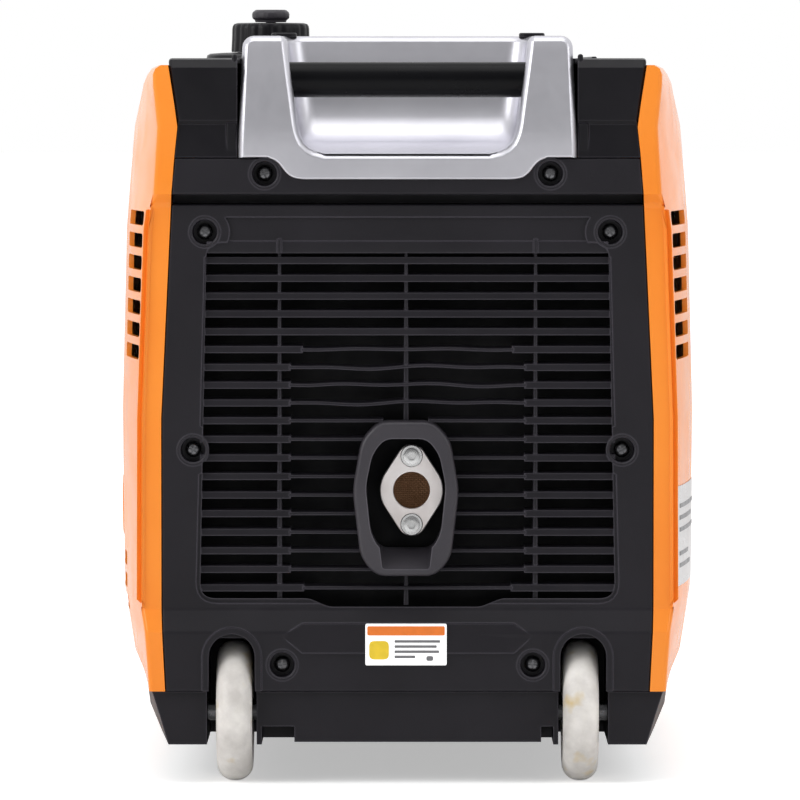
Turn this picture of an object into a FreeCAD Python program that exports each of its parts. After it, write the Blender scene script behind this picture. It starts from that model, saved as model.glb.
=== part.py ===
"""Portable inverter generator, in millimetres.

The exhaust end faces -Y, +X is to the right seen from that end, +Z is up. The origin is on the
ground, under the middle of the machine. Each function makes one piece; PIECES names them all.
"""

import FreeCAD, Part
import math
import os

Vector = FreeCAD.Vector

# Overall body
HALF_WIDTH = 175.5  # to the recoil handle on one side and the door latch on the other
HALF_LENGTH = 288.0  # to the face of either end cover
BODY_BOTTOM = 54.5  # lower edge of the side panels
BODY_TOP = 419.0  # upper edge of the side panels
WALL = 3.0
GAP = 0.4  # between neighbouring mouldings
STEP = 7.0  # how far the middle of each end cover lies back from its upper and lower bands
TAPER_LENGTH = 150.0  # the sides swell outwards over this length from each end

# Half-widths of the body by height, at the ends and at mid-length
HEIGHTS = (54.5, 72.0, 108.0, 213.0, 323.0, 346.0, 383.0, 408.0, 419.0)
END_WIDTHS = (150.5, 151.5, 154.0, 153.4, 149.4, 147.0, 144.8, 147.5, 148.2)
MIDDLE_WIDTHS = (154.0, 164.0, 170.0, 171.2, 168.5, 166.8, 163.6, 158.0, 152.0)
STATIONS = (-288.0, -265.0, -240.0, -200.0, -138.0, -60.0, 60.0, 138.0, 200.0, 240.0, 265.0, 288.0)

# Where the side panels end and the black end covers begin: half-width by height
SEAM = (
    (50.0, 141.0),
    (100.0, 143.5),
    (213.0, 143.5),
    (340.0, 137.5),
    (365.0, 135.5),
    (384.0, 133.5),
    (430.0, 140.6),
)

# End covers
BAND_LOW = 344.0  # lower edge of the upper band
BAND_TOP = 365.0
PANEL_TOP = 338.0  # the step runs from here up to the band
LEDGE_TOP = 102.0
LEDGE_LOW = 89.0
COVER_THICK = 3.0

# Louvred window of the rear cover
SLATS = 19
LOWER_PITCH = 10.85  # between the ten lowest slats
UPPER_PITCH = 10.38  # between the others
LOWER_SLATS = 10
SLAT_HEIGHT = 4.2
THIN_SLAT = 1.8
SLAT_DEPTH = 11.0
LOWEST_SLAT = 114.2
WINDOW_HALF = 120.0
WINDOW_LOW = 106.0
WINDOW_TOP = 316.0
CUTOUT_HALF = 68.0
CUTOUT_LOW = 105.0
CUTOUT_TOP = 262.0
CUTOUT_CORNER = 17.0

# Screw places on an end cover: half-spacing and height
SCREWS = ((83.0, 356.0), (118.0, 322.0), (125.0, 195.0), (73.0, 70.0))
SCREW_HOLE = 7.0
SCREW_HEAD = 4.6

# Exhaust outlet
OUTLET_X = 2.4
OUTLET_Z = 171.0
BEZEL_Z = 167.0
FLANGE_FACE = -272.0

# Wheels
WHEEL_X = 101.0
WHEEL_Y = -258.0
WHEEL_RADIUS = 41.0
WHEEL_WIDTH = 21.0
HUB_RADIUS = 29.0
BEARING_RADIUS = 11.0
AXLE_RADIUS = 4.0
WELL_OUTER = 117.0
WELL_INNER = 85.0
WELL_TOP = 88.0
FIT = 0.05  # radial clearance of a running fit

# Base tray
TRAY_BOTTOM = 23.0
TRAY_TOP = 54.0
FLOOR_TOP = 27.0

# Handles
HANDLE_HALF = 96.5
HANDLE_TOP = 436.0
HANDLE_BACK = 208.0
HANDLE_FACE = 291.0
LIP_LOW = 352.6
SCOOP_LOW = 368.0
SCOOP_BACK = 222.0
GRIP_Y = 266.0
GRIP_Z = 410.5
GRIP_RADIUS = 10.3

# Top and fuel filler
TOP_Z = 423.0
FILLER_X = -83.0
FILLER_Y = -100.0
CAP_RADIUS = 24.0
CAP_LOW = 427.0
CAP_TOP = 444.7

# Engine
CRANK_Y = -10.0
CRANK_Z = 150.0
CRANK_RADIUS = 12.5
CYLINDER_X = 38.0
CYLINDER_TILT = 18.0  # degrees towards the exhaust end
BARREL_FOOT = 84.0  # from the crankshaft to the foot of the barrel
PLUG_Z = 253.0  # spark plug, before the cylinder is tilted

# Recoil starter, in the left side panel
ROPE_Z = 153.0
ROPE_RADIUS = 2.3
POCKET = (-66.0, 46.0, 136.5, 189.0)  # y from, y to, z from, z to
POCKET_FLOOR = -140.0
PULLEY_RADIUS = 30.0

# Service door, in the right side panel
DOOR = (-20.0, 130.0, 110.0, 300.0)  # y from, y to, z from, z to
DOOR_GAP = 0.8
DOOR_FOOT_GAP = 1.5
DOOR_HINGE_X = 167.2
DOOR_HINGE_Z = 114.7

# Control panel, in the front cover
PANEL_HALF = 112.0
PANEL_LOW = 150.0
PANEL_HIGH = 325.0
PANEL_FACE = 280.0
SOCKETS = (62.0, 4.0)  # x of each AC socket
SOCKET_Z = 196.0
COVER_HALF = 23.0
DIAL = (-72.0, 276.0)
START = (-72.0, 222.0)
BREAKER = (-40.0, 180.0)
ROCKER = (-22.0, 276.0)
DISPLAY = (50.0, 282.0)


def box(x0, x1, y0, y1, z0, z1):
    return Part.makeBox(x1 - x0, y1 - y0, z1 - z0, Vector(x0, y0, z0))


def rod(start, direction, length, radius):
    return Part.makeCylinder(radius, length, Vector(*start), Vector(*direction))


def ring(start, direction, length, outer, inner):
    return rod(start, direction, length, outer).cut(rod(start, direction, length, inner))


def outline(points):
    """A closed flat wire through points."""
    corners = [Vector(*p) for p in points]
    return Part.makePolygon(corners + corners[:1])


def prism(points, along):
    """A closed outline pushed along a vector."""
    return Part.Face(outline(points)).extrude(Vector(*along))


def slab_xz(points, y0, y1):
    """An outline of (x, z) points, from y0 to y1."""
    return prism([(x, y0, z) for x, z in points], (0, y1 - y0, 0))


def slab_yz(points, x0, x1):
    """An outline of (y, z) points, from x0 to x1."""
    return prism([(x0, y, z) for y, z in points], (x1 - x0, 0, 0))


def rounded(shape, radius, axis):
    """The shape with its straight edges along one axis rounded."""
    wanted = []
    for edge in shape.Edges:
        if not isinstance(edge.Curve, Part.Line):
            continue
        direction = edge.tangentAt(edge.FirstParameter)
        if abs(abs(direction.dot(axis)) - 1) < 1e-6:
            wanted.append(edge)
    return shape.makeFillet(radius, wanted)


X_AXIS = Vector(1, 0, 0)
Y_AXIS = Vector(0, 1, 0)
Z_AXIS = Vector(0, 0, 1)


def soft_box(x0, x1, y0, y1, z0, z1, radius, axis=Z_AXIS):
    return rounded(box(x0, x1, y0, y1, z0, z1), radius, axis)


def mirrored(shape, normal=X_AXIS):
    return shape.mirror(Vector(0, 0, 0), normal)


def both_sides(shape):
    return [shape, mirrored(shape)]


def fuse(first, *others):
    """One solid of several, with the seams between flat faces removed."""
    return first.fuse(list(others)).removeSplitter()


def cut(shape, *tools):
    return shape.cut(list(tools))


def at_front(shape):
    """The same piece at the other end of the machine."""
    return mirrored(shape, Y_AXIS)


def between(table, height):
    """A half-width read from (height, half-width) pairs."""
    for (z0, w0), (z1, w1) in zip(table, table[1:]):
        if z0 <= height <= z1:
            return w0 + (w1 - w0) * (height - z0) / (z1 - z0)
    return table[-1][1]


# The body's outer form


def swelling(y):
    """How far the sides have swelled at y, from 0 at the ends to 1 along the middle."""
    in_from_end = min((HALF_LENGTH - abs(y)) / TAPER_LENGTH, 1.0)
    return 1.0 - (1.0 - in_from_end) ** 2


def body_section(y, inset, bottom, top):
    share = swelling(y)
    widths = [end + (middle - end) * share - inset for end, middle in zip(END_WIDTHS, MIDDLE_WIDTHS)]
    heights = (bottom,) + HEIGHTS[1:-1] + (top,)
    right = [(w, y, z) for w, z in zip(widths, heights)]
    left = [(-w, y, z) for w, z in reversed(list(zip(widths, heights)))]
    return outline(right + left)


def body_form(inset, half_length, bottom, top):
    """The closed outer form of the body, drawn in by inset."""
    middle = [y for y in STATIONS if abs(y) < half_length - 5]
    sections = [body_section(y, inset, bottom, top) for y in [-half_length] + middle + [half_length]]
    return Part.makeLoft(sections, True, True)


def seam_region(clearance, y0, y1, low, high):
    """Everything between the side panels' inner edges."""
    heights = [low] + [z for z, w in SEAM if low < z < high] + [high]
    right = [(between(SEAM, z) - clearance, z) for z in heights]
    left = [(-x, z) for x, z in reversed(right)]
    return slab_xz(right + left, y0, y1)


def end_recess():
    """What is taken off the end faces between the upper band and the lower ledge."""
    face = HALF_LENGTH
    profile = [
        (-face - 5, BAND_LOW),
        (-face, BAND_LOW),
        (-face + STEP, PANEL_TOP),
        (-face + STEP, LEDGE_TOP),
        (-face, LEDGE_LOW),
        (-face - 5, LEDGE_LOW),
    ]
    return slab_yz(profile, -200, 200)


# Base


def tray_form(inset, bottom, top):
    """The tray's outline, which narrows towards the ground and towards the ends."""
    levels = ((TRAY_BOTTOM, 139.5, 146.0), (40.0, 144.5, 153.0), (TRAY_TOP, 149.0, 155.0))
    sections = []
    for y in (-283.0, -200.0, 200.0, 283.0):
        share = 1.0 if abs(y) < 250 else 0.0
        ends = [end + (middle - end) * share - inset for z, end, middle in levels]
        heights = (bottom, 40.0, top)
        right = [(w, y - math.copysign(inset, y), z) for w, z in zip(ends, heights)]
        left = [(-w, yy, z) for w, yy, z in reversed(right)]
        sections.append(outline(right + left))
    return Part.makeLoft(sections, True, True)


def base_tray():
    shell = cut(tray_form(0, TRAY_BOTTOM, TRAY_TOP), tray_form(4.0, FLOOR_TOP, TRAY_TOP + 1))
    wells = both_sides(box(WELL_INNER, WELL_OUTER + WALL, -280, -202, TRAY_BOTTOM, WELL_TOP))
    well_spaces = both_sides(box(WELL_INNER + WALL, WELL_OUTER, -290, -205, 0, WELL_TOP - WALL))
    axles = [rod((x, WHEEL_Y, WHEEL_RADIUS), (1, 0, 0), 60, AXLE_RADIUS) for x in (70, -130)]
    # The middle of the rear edge is cut up to a band above the ground, with a skid block under it.
    undercut = box(-WELL_INNER, WELL_INNER, -290, -240, 0, 33.6)
    floor_step = box(-78, 78, -279, -236, 33.6, 37.6)
    step_wall = box(-WELL_INNER, WELL_INNER, -240, -236, TRAY_BOTTOM, 37.6)
    skid = box(-66, 78, -283, -241, 24.5, 33.6)
    seats = []
    for x in (-22.0, 92.0):
        for y in (-96.0, 76.0):
            seats.append(ring((x, y, FLOOR_TOP), (0, 0, 1), 4, 18, 14.2))
    tray = fuse(shell, *wells)
    tray = cut(tray, *well_spaces, undercut)
    tray = fuse(tray, floor_step, step_wall, skid, *seats)
    return cut(tray, *axles)


def front_feet():
    feet = []
    for foot in both_sides(rod((108, 228, 0), (0, 0, 1), TRAY_BOTTOM, 19)):
        feet.append(cut(foot, rod((foot.CenterOfMass.x, 228, 0), (0, 0, 1), 8, 6)))
    return Part.makeCompound(feet)


def wheel_tyre(side):
    x = side * WHEEL_X - WHEEL_WIDTH / 2
    tyre = ring((x, WHEEL_Y, WHEEL_RADIUS), (1, 0, 0), WHEEL_WIDTH, WHEEL_RADIUS, HUB_RADIUS)
    rims = [e for e in tyre.Edges if abs(e.Length - 2 * math.pi * WHEEL_RADIUS) < 0.1 and e.isClosed()]
    return tyre.makeFillet(8.5, rims)


def wheel_hub(side):
    x = side * WHEEL_X - 9.0
    centre = (x, WHEEL_Y, WHEEL_RADIUS)
    rim = ring(centre, (1, 0, 0), 18, HUB_RADIUS, HUB_RADIUS - 3.5)
    boss = ring(centre, (1, 0, 0), 18, BEARING_RADIUS + 3, BEARING_RADIUS)
    web = ring((x + 6, WHEEL_Y, WHEEL_RADIUS), (1, 0, 0), 6, HUB_RADIUS - 1, BEARING_RADIUS + 1)
    return fuse(rim, web, boss)


def wheel_bearings(side):
    bearings = []
    for x in (-9.0, 2.0):
        start = (side * WHEEL_X + x, WHEEL_Y, WHEEL_RADIUS)
        bearings.append(ring(start, (1, 0, 0), 7, BEARING_RADIUS, AXLE_RADIUS + FIT))
    return Part.makeCompound(bearings)


def wheel_bolts():
    """One bolt and nut through each wheel well."""
    inner = WELL_INNER - 5.0
    outer = WELL_OUTER + WALL
    bolt = rod((inner, WHEEL_Y, WHEEL_RADIUS), (1, 0, 0), outer - inner + 1, AXLE_RADIUS)
    head = rod((outer, WHEEL_Y, WHEEL_RADIUS), (1, 0, 0), 4, 7)
    nut = rod((inner, WHEEL_Y, WHEEL_RADIUS), (1, 0, 0), 5, 7)
    spacers = [
        rod((WELL_INNER + WALL, WHEEL_Y, WHEEL_RADIUS), (1, 0, 0), 3.2, 6),
        rod((WHEEL_X + 9.3, WHEEL_Y, WHEEL_RADIUS), (1, 0, 0), WELL_OUTER - WHEEL_X - 9.3, 6),
    ]
    return Part.makeCompound(both_sides(fuse(bolt, head, nut, *spacers)))


# End covers


def end_cover():
    """The plain moulding that both end covers start from, at the exhaust end."""
    face = HALF_LENGTH
    back = face - COVER_THICK
    profile = [
        (-face, BODY_BOTTOM),
        (-face, LEDGE_LOW),
        (-face + STEP, LEDGE_TOP),
        (-face + STEP, PANEL_TOP),
        (-face, BAND_LOW),
        (-face, BAND_TOP),
        (-back, BAND_TOP),
        (-back, BAND_LOW + 1.5),
        (-back + STEP, PANEL_TOP + 1.5),
        (-back + STEP, LEDGE_TOP - 1.5),
        (-back, LEDGE_LOW - 1.5),
        (-back, BODY_BOTTOM),
    ]
    plate = slab_yz(profile, -200, 200)
    return plate.common(seam_region(GAP, -300, -260, BODY_BOTTOM, BAND_TOP))


def screw_bosses(cover):
    """The cover with a counterbored boss at each screw."""
    bosses = []
    holes = []
    for x, z in SCREWS:
        recessed = LEDGE_TOP < z < PANEL_TOP
        face = -HALF_LENGTH + (STEP - 2 if recessed else 0)
        radius = 14.5 if recessed else 10.0
        bosses += both_sides(rod((x, face, z), (0, 1, 0), 17, radius))
        holes += both_sides(rod((x, face - 1, z), (0, 1, 0), 9, SCREW_HOLE))
        holes += both_sides(rod((x, face, z), (0, 1, 0), 18, 2.5))
    above = box(-200, 200, -300, -200, BAND_TOP, BAND_TOP + 20)
    return cut(fuse(cover, *bosses), above, *holes)


def cover_screws():
    """Sixteen pan-head screws, eight in each end cover."""
    screws = []
    for x, z in SCREWS:
        recessed = LEDGE_TOP < z < PANEL_TOP
        seat = -HALF_LENGTH + (STEP - 2 if recessed else 0) + 8
        screw = fuse(
            rod((x, seat - 3, z), (0, 1, 0), 3, SCREW_HEAD), rod((x, seat - 1, z), (0, 1, 0), 13, 2.5)
        )
        socket = box(x - 2.6, x + 2.6, seat - 3.1, seat - 1.4, z - 0.5, z + 0.5)
        cross = box(x - 0.5, x + 0.5, seat - 3.1, seat - 1.4, z - 2.6, z + 2.6)
        screw = cut(screw, socket, cross)
        for piece in both_sides(screw):
            screws += [piece, at_front(piece)]
    return Part.makeCompound(screws)


def cutout(grow=0.0):
    """Outline of the thinned area around the exhaust."""
    half = CUTOUT_HALF + grow
    low = CUTOUT_LOW - grow
    top = CUTOUT_TOP + grow
    corner = CUTOUT_CORNER
    points = [
        (half - corner, low), (half, low + corner), (half, top - corner), (half - corner, top),
        (-half + corner, top), (-half, top - corner), (-half, low + corner), (-half + corner, low),
    ]
    return slab_xz(points, -300, -240)


def long_octagon(half, z0, z1, corner, y0, y1, centre=0.0, lean=0.0):
    """A tall eight-sided outline; lean draws its upper and lower ends in."""
    end = half - corner
    widest = (z0 + z1) / 2 + 8
    points = [
        (centre + end - lean, z0), (centre + half - lean, z0 + corner), (centre + half, widest),
        (centre + half - lean, z1 - corner), (centre + end - lean, z1),
        (centre - end + lean, z1), (centre - half + lean, z1 - corner), (centre - half, widest),
        (centre - half + lean, z0 + corner), (centre - end + lean, z0),
    ]
    return slab_xz(points, y0, y1)


def bezel_form(grow, y0, y1):
    return long_octagon(30.5 + grow, BEZEL_Z - 45 - grow, BEZEL_Z + 45 + grow, 10, y0, y1, -1.0, 6)


def slat_height(index):
    below = min(index, LOWER_SLATS - 1)
    return LOWEST_SLAT + below * LOWER_PITCH + (index - below) * UPPER_PITCH


def louvres():
    """The slats and ribs that fill the window of the rear cover."""
    face = -HALF_LENGTH + STEP + 2.5
    reach = WINDOW_HALF + 2
    wide = []
    thin = []
    for index in range(SLATS):
        z = slat_height(index)
        for height, slats in ((SLAT_HEIGHT, wide), (THIN_SLAT, thin)):
            low = z - height / 2
            slats.append(box(-reach, reach, face, face + SLAT_DEPTH, low, low + height))
    wide_slats = Part.makeCompound(wide).cut(cutout())
    thin_slats = Part.makeCompound(thin).common(cutout())
    ribs = [box(x - 1.2, x + 1.2, face + 2, face + 14, WINDOW_LOW - 2, WINDOW_TOP + 2) for x in (-74, 0, 74)]
    return [wide_slats, thin_slats] + ribs


def wheel_arch(grow, y0, y1):
    """An upright opening with a round top over one wheel."""
    centre = (89.0 + 115.7) / 2
    half = (115.7 - 89.0) / 2 + grow
    top = LEDGE_LOW - 1 + grow
    column = box(centre - half, centre + half, y0, y1, 30, top - half)
    return fuse(column, rod((centre, y0, top - half), (0, 1, 0), y1 - y0, half))


def rear_cover():
    window = soft_box(-WINDOW_HALF, WINDOW_HALF, -295, -265, WINDOW_LOW, WINDOW_TOP, 9, Y_AXIS)
    lips = []
    for lip in both_sides(wheel_arch(4.0, -HALF_LENGTH - 1.5, -HALF_LENGTH + 3)):
        lips.append(lip.common(box(-200, 200, -300, -260, BODY_BOTTOM, 200)))
    arches = both_sides(wheel_arch(0.0, -300, -260))
    cover = cut(end_cover(), window)
    cover = fuse(cover, *louvres(), *lips)
    cover = cut(cover, *arches)
    cover = screw_bosses(cover)
    rib_face = -HALF_LENGTH + STEP + 0.8
    upper_rib = box(-110, 110, rib_face, rib_face + 3.2, WINDOW_TOP - 1, WINDOW_TOP + 1)
    cover = fuse(cover, upper_rib)
    return cut(cover, bezel_form(GAP, -300, -250))


def exhaust_bezel():
    outer = bezel_form(0, -291, -262)
    mouth = long_octagon(23.5, BEZEL_Z - 32, BEZEL_Z + 37, 8, -300, -250, -1.0, 4)
    frame = cut(outer, mouth)
    tray = box(-15, 13, -284, -262, BEZEL_Z - 34, BEZEL_Z - 28)
    tray = cut(tray, slab_yz([(-300, 133), (-300, 139), (-262, 139)], -30, 30))
    return fuse(frame, tray)


def rhombus(half_width, half_height, y0, y1):
    """The two-bolt flange outline: a round middle drawn out to two round ears."""
    middle = rod((OUTLET_X, y0, OUTLET_Z), (0, 1, 0), y1 - y0, half_width)
    reach = half_height - 7.5
    ears = [rod((OUTLET_X, y0, OUTLET_Z + s * reach), (0, 1, 0), y1 - y0, 7.5) for s in (-1, 1)]
    waist = slab_xz(
        [
            (OUTLET_X - 7.0, OUTLET_Z + reach + 2.5), (OUTLET_X + 7.0, OUTLET_Z + reach + 2.5),
            (OUTLET_X + half_width * 0.93, OUTLET_Z + half_width * 0.36),
            (OUTLET_X + half_width * 0.93, OUTLET_Z - half_width * 0.36),
            (OUTLET_X + 7.0, OUTLET_Z - reach - 2.5), (OUTLET_X - 7.0, OUTLET_Z - reach - 2.5),
            (OUTLET_X - half_width * 0.93, OUTLET_Z - half_width * 0.36),
            (OUTLET_X - half_width * 0.93, OUTLET_Z + half_width * 0.36),
        ],
        y0, y1,
    )
    return fuse(middle, waist, *ears)


def muffler_outlet_flange():
    plate = rhombus(18.5, 27.0, FLANGE_FACE, FLANGE_FACE + 4)
    pipe = rod((OUTLET_X, FLANGE_FACE, OUTLET_Z), (0, 1, 0), 24, 14)
    bore = rod((OUTLET_X, FLANGE_FACE - 1, OUTLET_Z), (0, 1, 0), 26, 11)
    holes = [rod((OUTLET_X, FLANGE_FACE - 1, OUTLET_Z + s * 20), (0, 1, 0), 6, 3.0) for s in (-1, 1)]
    return cut(fuse(plate, pipe), bore, *holes)


def spark_arrestor_mesh():
    return rod((OUTLET_X, FLANGE_FACE + 1, OUTLET_Z), (0, 1, 0), 1.2, 11)


def flange_screws():
    screws = []
    for side in (-1, 1):
        z = OUTLET_Z + side * 20
        head = rod((OUTLET_X, FLANGE_FACE - 5, z), (0, 1, 0), 5, 4.8)
        shank = rod((OUTLET_X, FLANGE_FACE - 1, z), (0, 1, 0), 16, 2.95)
        hexagon = rod((OUTLET_X, FLANGE_FACE - 5.1, z), (0, 1, 0), 3, 2.3)
        screws.append(cut(fuse(head, shank), hexagon))
    return Part.makeCompound(screws)


def warning_label(x0, x1, z0, z1):
    return box(x0, x1, -HALF_LENGTH - 0.4, -HALF_LENGTH, z0, z1)


def front_cover():
    reach = PANEL_HALF + GAP
    opening = soft_box(-reach, reach, -295, -265, PANEL_LOW - GAP, PANEL_HIGH + GAP, 8, Y_AXIS)
    vents = [soft_box(-90, 90, -295, -265, z, z + 6, 2.5, Y_AXIS) for z in (112, 122, 132)]
    cover = screw_bosses(end_cover())
    return at_front(cut(cover, opening, *vents))


# Side panels


def side_shell():
    """Both side panels' wall, before it is parted and pierced."""
    outer = body_form(0.0, HALF_LENGTH, BODY_BOTTOM, BODY_TOP)
    inner = body_form(WALL, HALF_LENGTH - STEP - WALL, BODY_BOTTOM - 4, BODY_TOP - WALL)
    shell = cut(outer, inner, end_recess(), at_front(end_recess()))
    return cut(shell, seam_region(0.0, -300, 300, 50, 430))


def one_side(shell, side):
    half = box(0, 200, -300, 300, 0, 450) if side > 0 else box(-200, 0, -300, 300, 0, 450)
    return shell.common(half)


def upper_vents(side):
    """Seven level slots near the top of a side, at the exhaust end."""
    slots = []
    for index in range(7):
        z = 247.0 + index * 13.05
        slot = soft_box(135, 190, -266, -205, z, z + 8.4, 3, X_AXIS)
        slots.append(slot if side > 0 else mirrored(slot))
    return slots


def left_side_panel():
    y0, y1, z0, z1 = POCKET
    panel = one_side(side_shell(), -1)
    lower_vents = []
    for index in range(3):
        z = 96.5 + index * 13.05
        lower_vents.append(soft_box(-190, -135, -212, -150, z, z + 8.4, 3, X_AXIS))
    mouth = soft_box(-190, POCKET_FLOOR, y0, y1, z0, z1, 12, X_AXIS)
    walls = soft_box(-171, POCKET_FLOOR + WALL, y0 - WALL, y1 + WALL, z0 - WALL, z1 + WALL, 14, X_AXIS)
    rim = soft_box(-174.5, -168, y0 - 6, y1 + 6, z0 - 6, 172, 15, X_AXIS)
    guide = rod((POCKET_FLOOR - 1, CRANK_Y, ROPE_Z), (1, 0, 0), 6, ROPE_RADIUS + 1.2)
    panel = fuse(panel, walls, rim)
    return cut(panel, mouth, guide, *upper_vents(-1), *lower_vents)


def door_block(grow_side, grow_foot):
    y0, y1, z0, z1 = DOOR
    return soft_box(150, 190, y0 - grow_side, y1 + grow_side, z0 - grow_foot, z1 + grow_side, 6, X_AXIS)


def right_side_panel():
    y0, y1, z0, z1 = DOOR
    panel = cut(one_side(side_shell(), 1), door_block(0, 0), *upper_vents(1))
    sockets = [
        box(161, 168.6, y0 - 7, y0, DOOR_HINGE_Z - 5, DOOR_HINGE_Z + 5),
        box(161, 168.6, y1, y1 + 7, DOOR_HINGE_Z - 5, DOOR_HINGE_Z + 5),
    ]
    pins = rod((DOOR_HINGE_X, y0 - 5, DOOR_HINGE_Z), (0, 1, 0), y1 - y0 + 10, 1.5 + FIT)
    frame = box(160, 169, y0 - 6, y1 + 6, z1 - 4, z1 + 6)
    door_space = box(163.5, 175, y0, y1, z1 - 10, z1)
    return cut(fuse(panel, frame, *sockets), door_space, pins)


def service_door():
    y0, y1, z0, z1 = DOOR
    door = one_side(side_shell(), 1).common(door_block(-DOOR_GAP, -DOOR_FOOT_GAP))
    foot = box(DOOR_HINGE_X - 3.2, DOOR_HINGE_X + 1.2, y0 + 2, y1 - 2, 111.6, DOOR_HINGE_Z + 3)
    pin = rod((DOOR_HINGE_X, y0 - 4.5, DOOR_HINGE_Z), (0, 1, 0), y1 - y0 + 9, 1.5)
    latch_hole = rod((140, (y0 + y1) / 2, z1 - 18), (1, 0, 0), 50, 5 + FIT)
    return cut(fuse(door, foot, pin), latch_hole)


def service_door_latch():
    y0, y1, z0, z1 = DOOR
    middle = (y0 + y1) / 2
    z = z1 - 18
    stem = rod((163, middle, z), (1, 0, 0), 8, 5)
    knob = rod((170.2, middle, z), (1, 0, 0), 2.6, 11)
    wing = soft_box(172, HALF_WIDTH, middle - 9, middle + 9, z - 2.5, z + 2.5, 2, X_AXIS)
    return fuse(stem, knob, wing)


# Top cover, handles and grips


def top_cover():
    outer = seam_region(GAP, -HALF_LENGTH, HALF_LENGTH, BAND_TOP + GAP, TOP_Z)
    outer = outer.makeFillet(3, [e for e in outer.Edges if e.BoundBox.ZMin > TOP_Z - 0.1])
    inner = seam_region(WALL, -HALF_LENGTH + WALL, HALF_LENGTH - WALL, BAND_TOP - 4, TOP_Z - WALL)
    notch = box(-HANDLE_HALF - GAP, HANDLE_HALF + GAP, -300, -HANDLE_BACK + GAP, BAND_TOP - 5, 440)
    pad = rod((FILLER_X, FILLER_Y, TOP_Z - WALL), (0, 0, 1), WALL + 3, 39)
    well = rod((FILLER_X, FILLER_Y, TOP_Z - 10), (0, 0, 1), 20, 20.5)
    cover = cut(outer, inner)
    cover = fuse(cover, pad)
    grooves = [box(x - 1.2, x + 1.2, -150, 160, TOP_Z - 1, TOP_Z + 1) for x in (-24, 0, 24, 48, 72, 96)]
    return cut(cover, notch, at_front(notch), well, *grooves)


def scoop(grow):
    """The hand space of a handle, open at the top and at the end of the machine."""
    low = SCOOP_LOW - grow
    points = [
        (62.0 + grow, 401.0), (68.0 + grow, 422.0), (68.0 + grow, 450.0), (-68.0 - grow, 450.0),
        (-68.0 - grow, 422.0), (-62.0 - grow, 401.0), (-57.0 - grow, low + 14), (-44.0 - grow, low),
        (44.0 + grow, low), (57.0 + grow, low + 14),
    ]
    return slab_xz(points, -300, -SCOOP_BACK + grow)


def handle_frame():
    low = BAND_TOP + GAP
    profile = [
        (-HANDLE_FACE, low), (-HANDLE_FACE, 384), (-280, HANDLE_TOP),
        (-HANDLE_BACK, HANDLE_TOP), (-HANDLE_BACK, low),
    ]
    block = rounded(slab_yz(profile, -HANDLE_HALF, HANDLE_HALF), 6, Y_AXIS)
    hollow = box(-HANDLE_HALF + WALL, HANDLE_HALF - WALL, -277, -HANDLE_BACK - WALL, 350, HANDLE_TOP - WALL)
    frame = cut(block, cut(hollow, scoop(WALL)), scoop(0))
    lip_points = [
        (-56, LIP_LOW), (56, LIP_LOW), (68, 357), (78, low),
        (78, 376), (-78, 376), (-78, low), (-68, 357),
    ]
    lip = slab_xz(lip_points, -HANDLE_FACE, -HALF_LENGTH - 0.3)
    grip_hole = rod((-90, -GRIP_Y, GRIP_Z), (1, 0, 0), 180, GRIP_RADIUS)
    grip_hole = grip_hole.common(box(-78, 78, -300, -200, 380, 440))
    return cut(fuse(frame, lip), grip_hole)


def grip_tube():
    return ring((-78, -GRIP_Y, GRIP_Z), (1, 0, 0), 156, GRIP_RADIUS, GRIP_RADIUS - 2.5)


def handle_plugs():
    """Oval blanking plugs on the tops of the handle frames."""
    plugs = []
    for x in (-74.5, 74.5):
        ends = [rod((x + shift, -215, HANDLE_TOP), (0, 0, 1), 2, 4.5) for shift in (-3.5, 3.5)]
        plug = fuse(box(x - 3.5, x + 3.5, -219.5, -210.5, HANDLE_TOP, HANDLE_TOP + 2), *ends)
        plugs += [plug, at_front(plug)]
    return Part.makeCompound(plugs)


# Fuel system


def tank_form(inset):
    """The tank with all its edges rounded."""
    half = 128 - inset
    form = soft_box(-half, half, -160 + inset, 150 - inset, 302 + inset, 404 - inset, 22 - inset)
    rims = [e for e in form.Edges if e.BoundBox.ZMin > 400 or e.BoundBox.ZMax < 306]
    return form.makeFillet(10 - inset, rims)


def fuel_tank():
    neck_hole = rod((FILLER_X, FILLER_Y, 390), (0, 0, 1), 30, 17.5)
    return cut(tank_form(0), tank_form(2.0), neck_hole)


def fuel_filler_neck():
    neck = ring((FILLER_X, FILLER_Y, 404), (0, 0, 1), 32, 20, 17.5)
    collar = ring((FILLER_X, FILLER_Y, 404), (0, 0, 1), 3, 27, 17.5)
    return fuse(neck, collar)


def fuel_cap_gasket():
    return ring((FILLER_X, FILLER_Y, 436.3), (0, 0, 1), 2, 20, 15)


def fuel_cap():
    skirt = rod((FILLER_X, FILLER_Y, CAP_LOW), (0, 0, 1), CAP_TOP - CAP_LOW, CAP_RADIUS)
    rims = [e for e in skirt.Edges if e.BoundBox.ZMin > CAP_TOP - 0.1]
    skirt = skirt.makeFillet(2.5, rims)
    under = rod((FILLER_X, FILLER_Y, CAP_LOW - 1), (0, 0, 1), 438.6 - CAP_LOW + 1, 21)
    flutes = []
    for index in range(18):
        angle = math.radians(20 * index)
        x = FILLER_X + (CAP_RADIUS + 1.1) * math.cos(angle)
        y = FILLER_Y + (CAP_RADIUS + 1.1) * math.sin(angle)
        flutes.append(rod((x, y, CAP_LOW - 1), (0, 0, 1), 30, 2.4))
    pivot = rod((FILLER_X, FILLER_Y, 435), (0, 0, 1), 20, 3 + FIT)
    return cut(skirt, under, pivot, *flutes)


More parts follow.
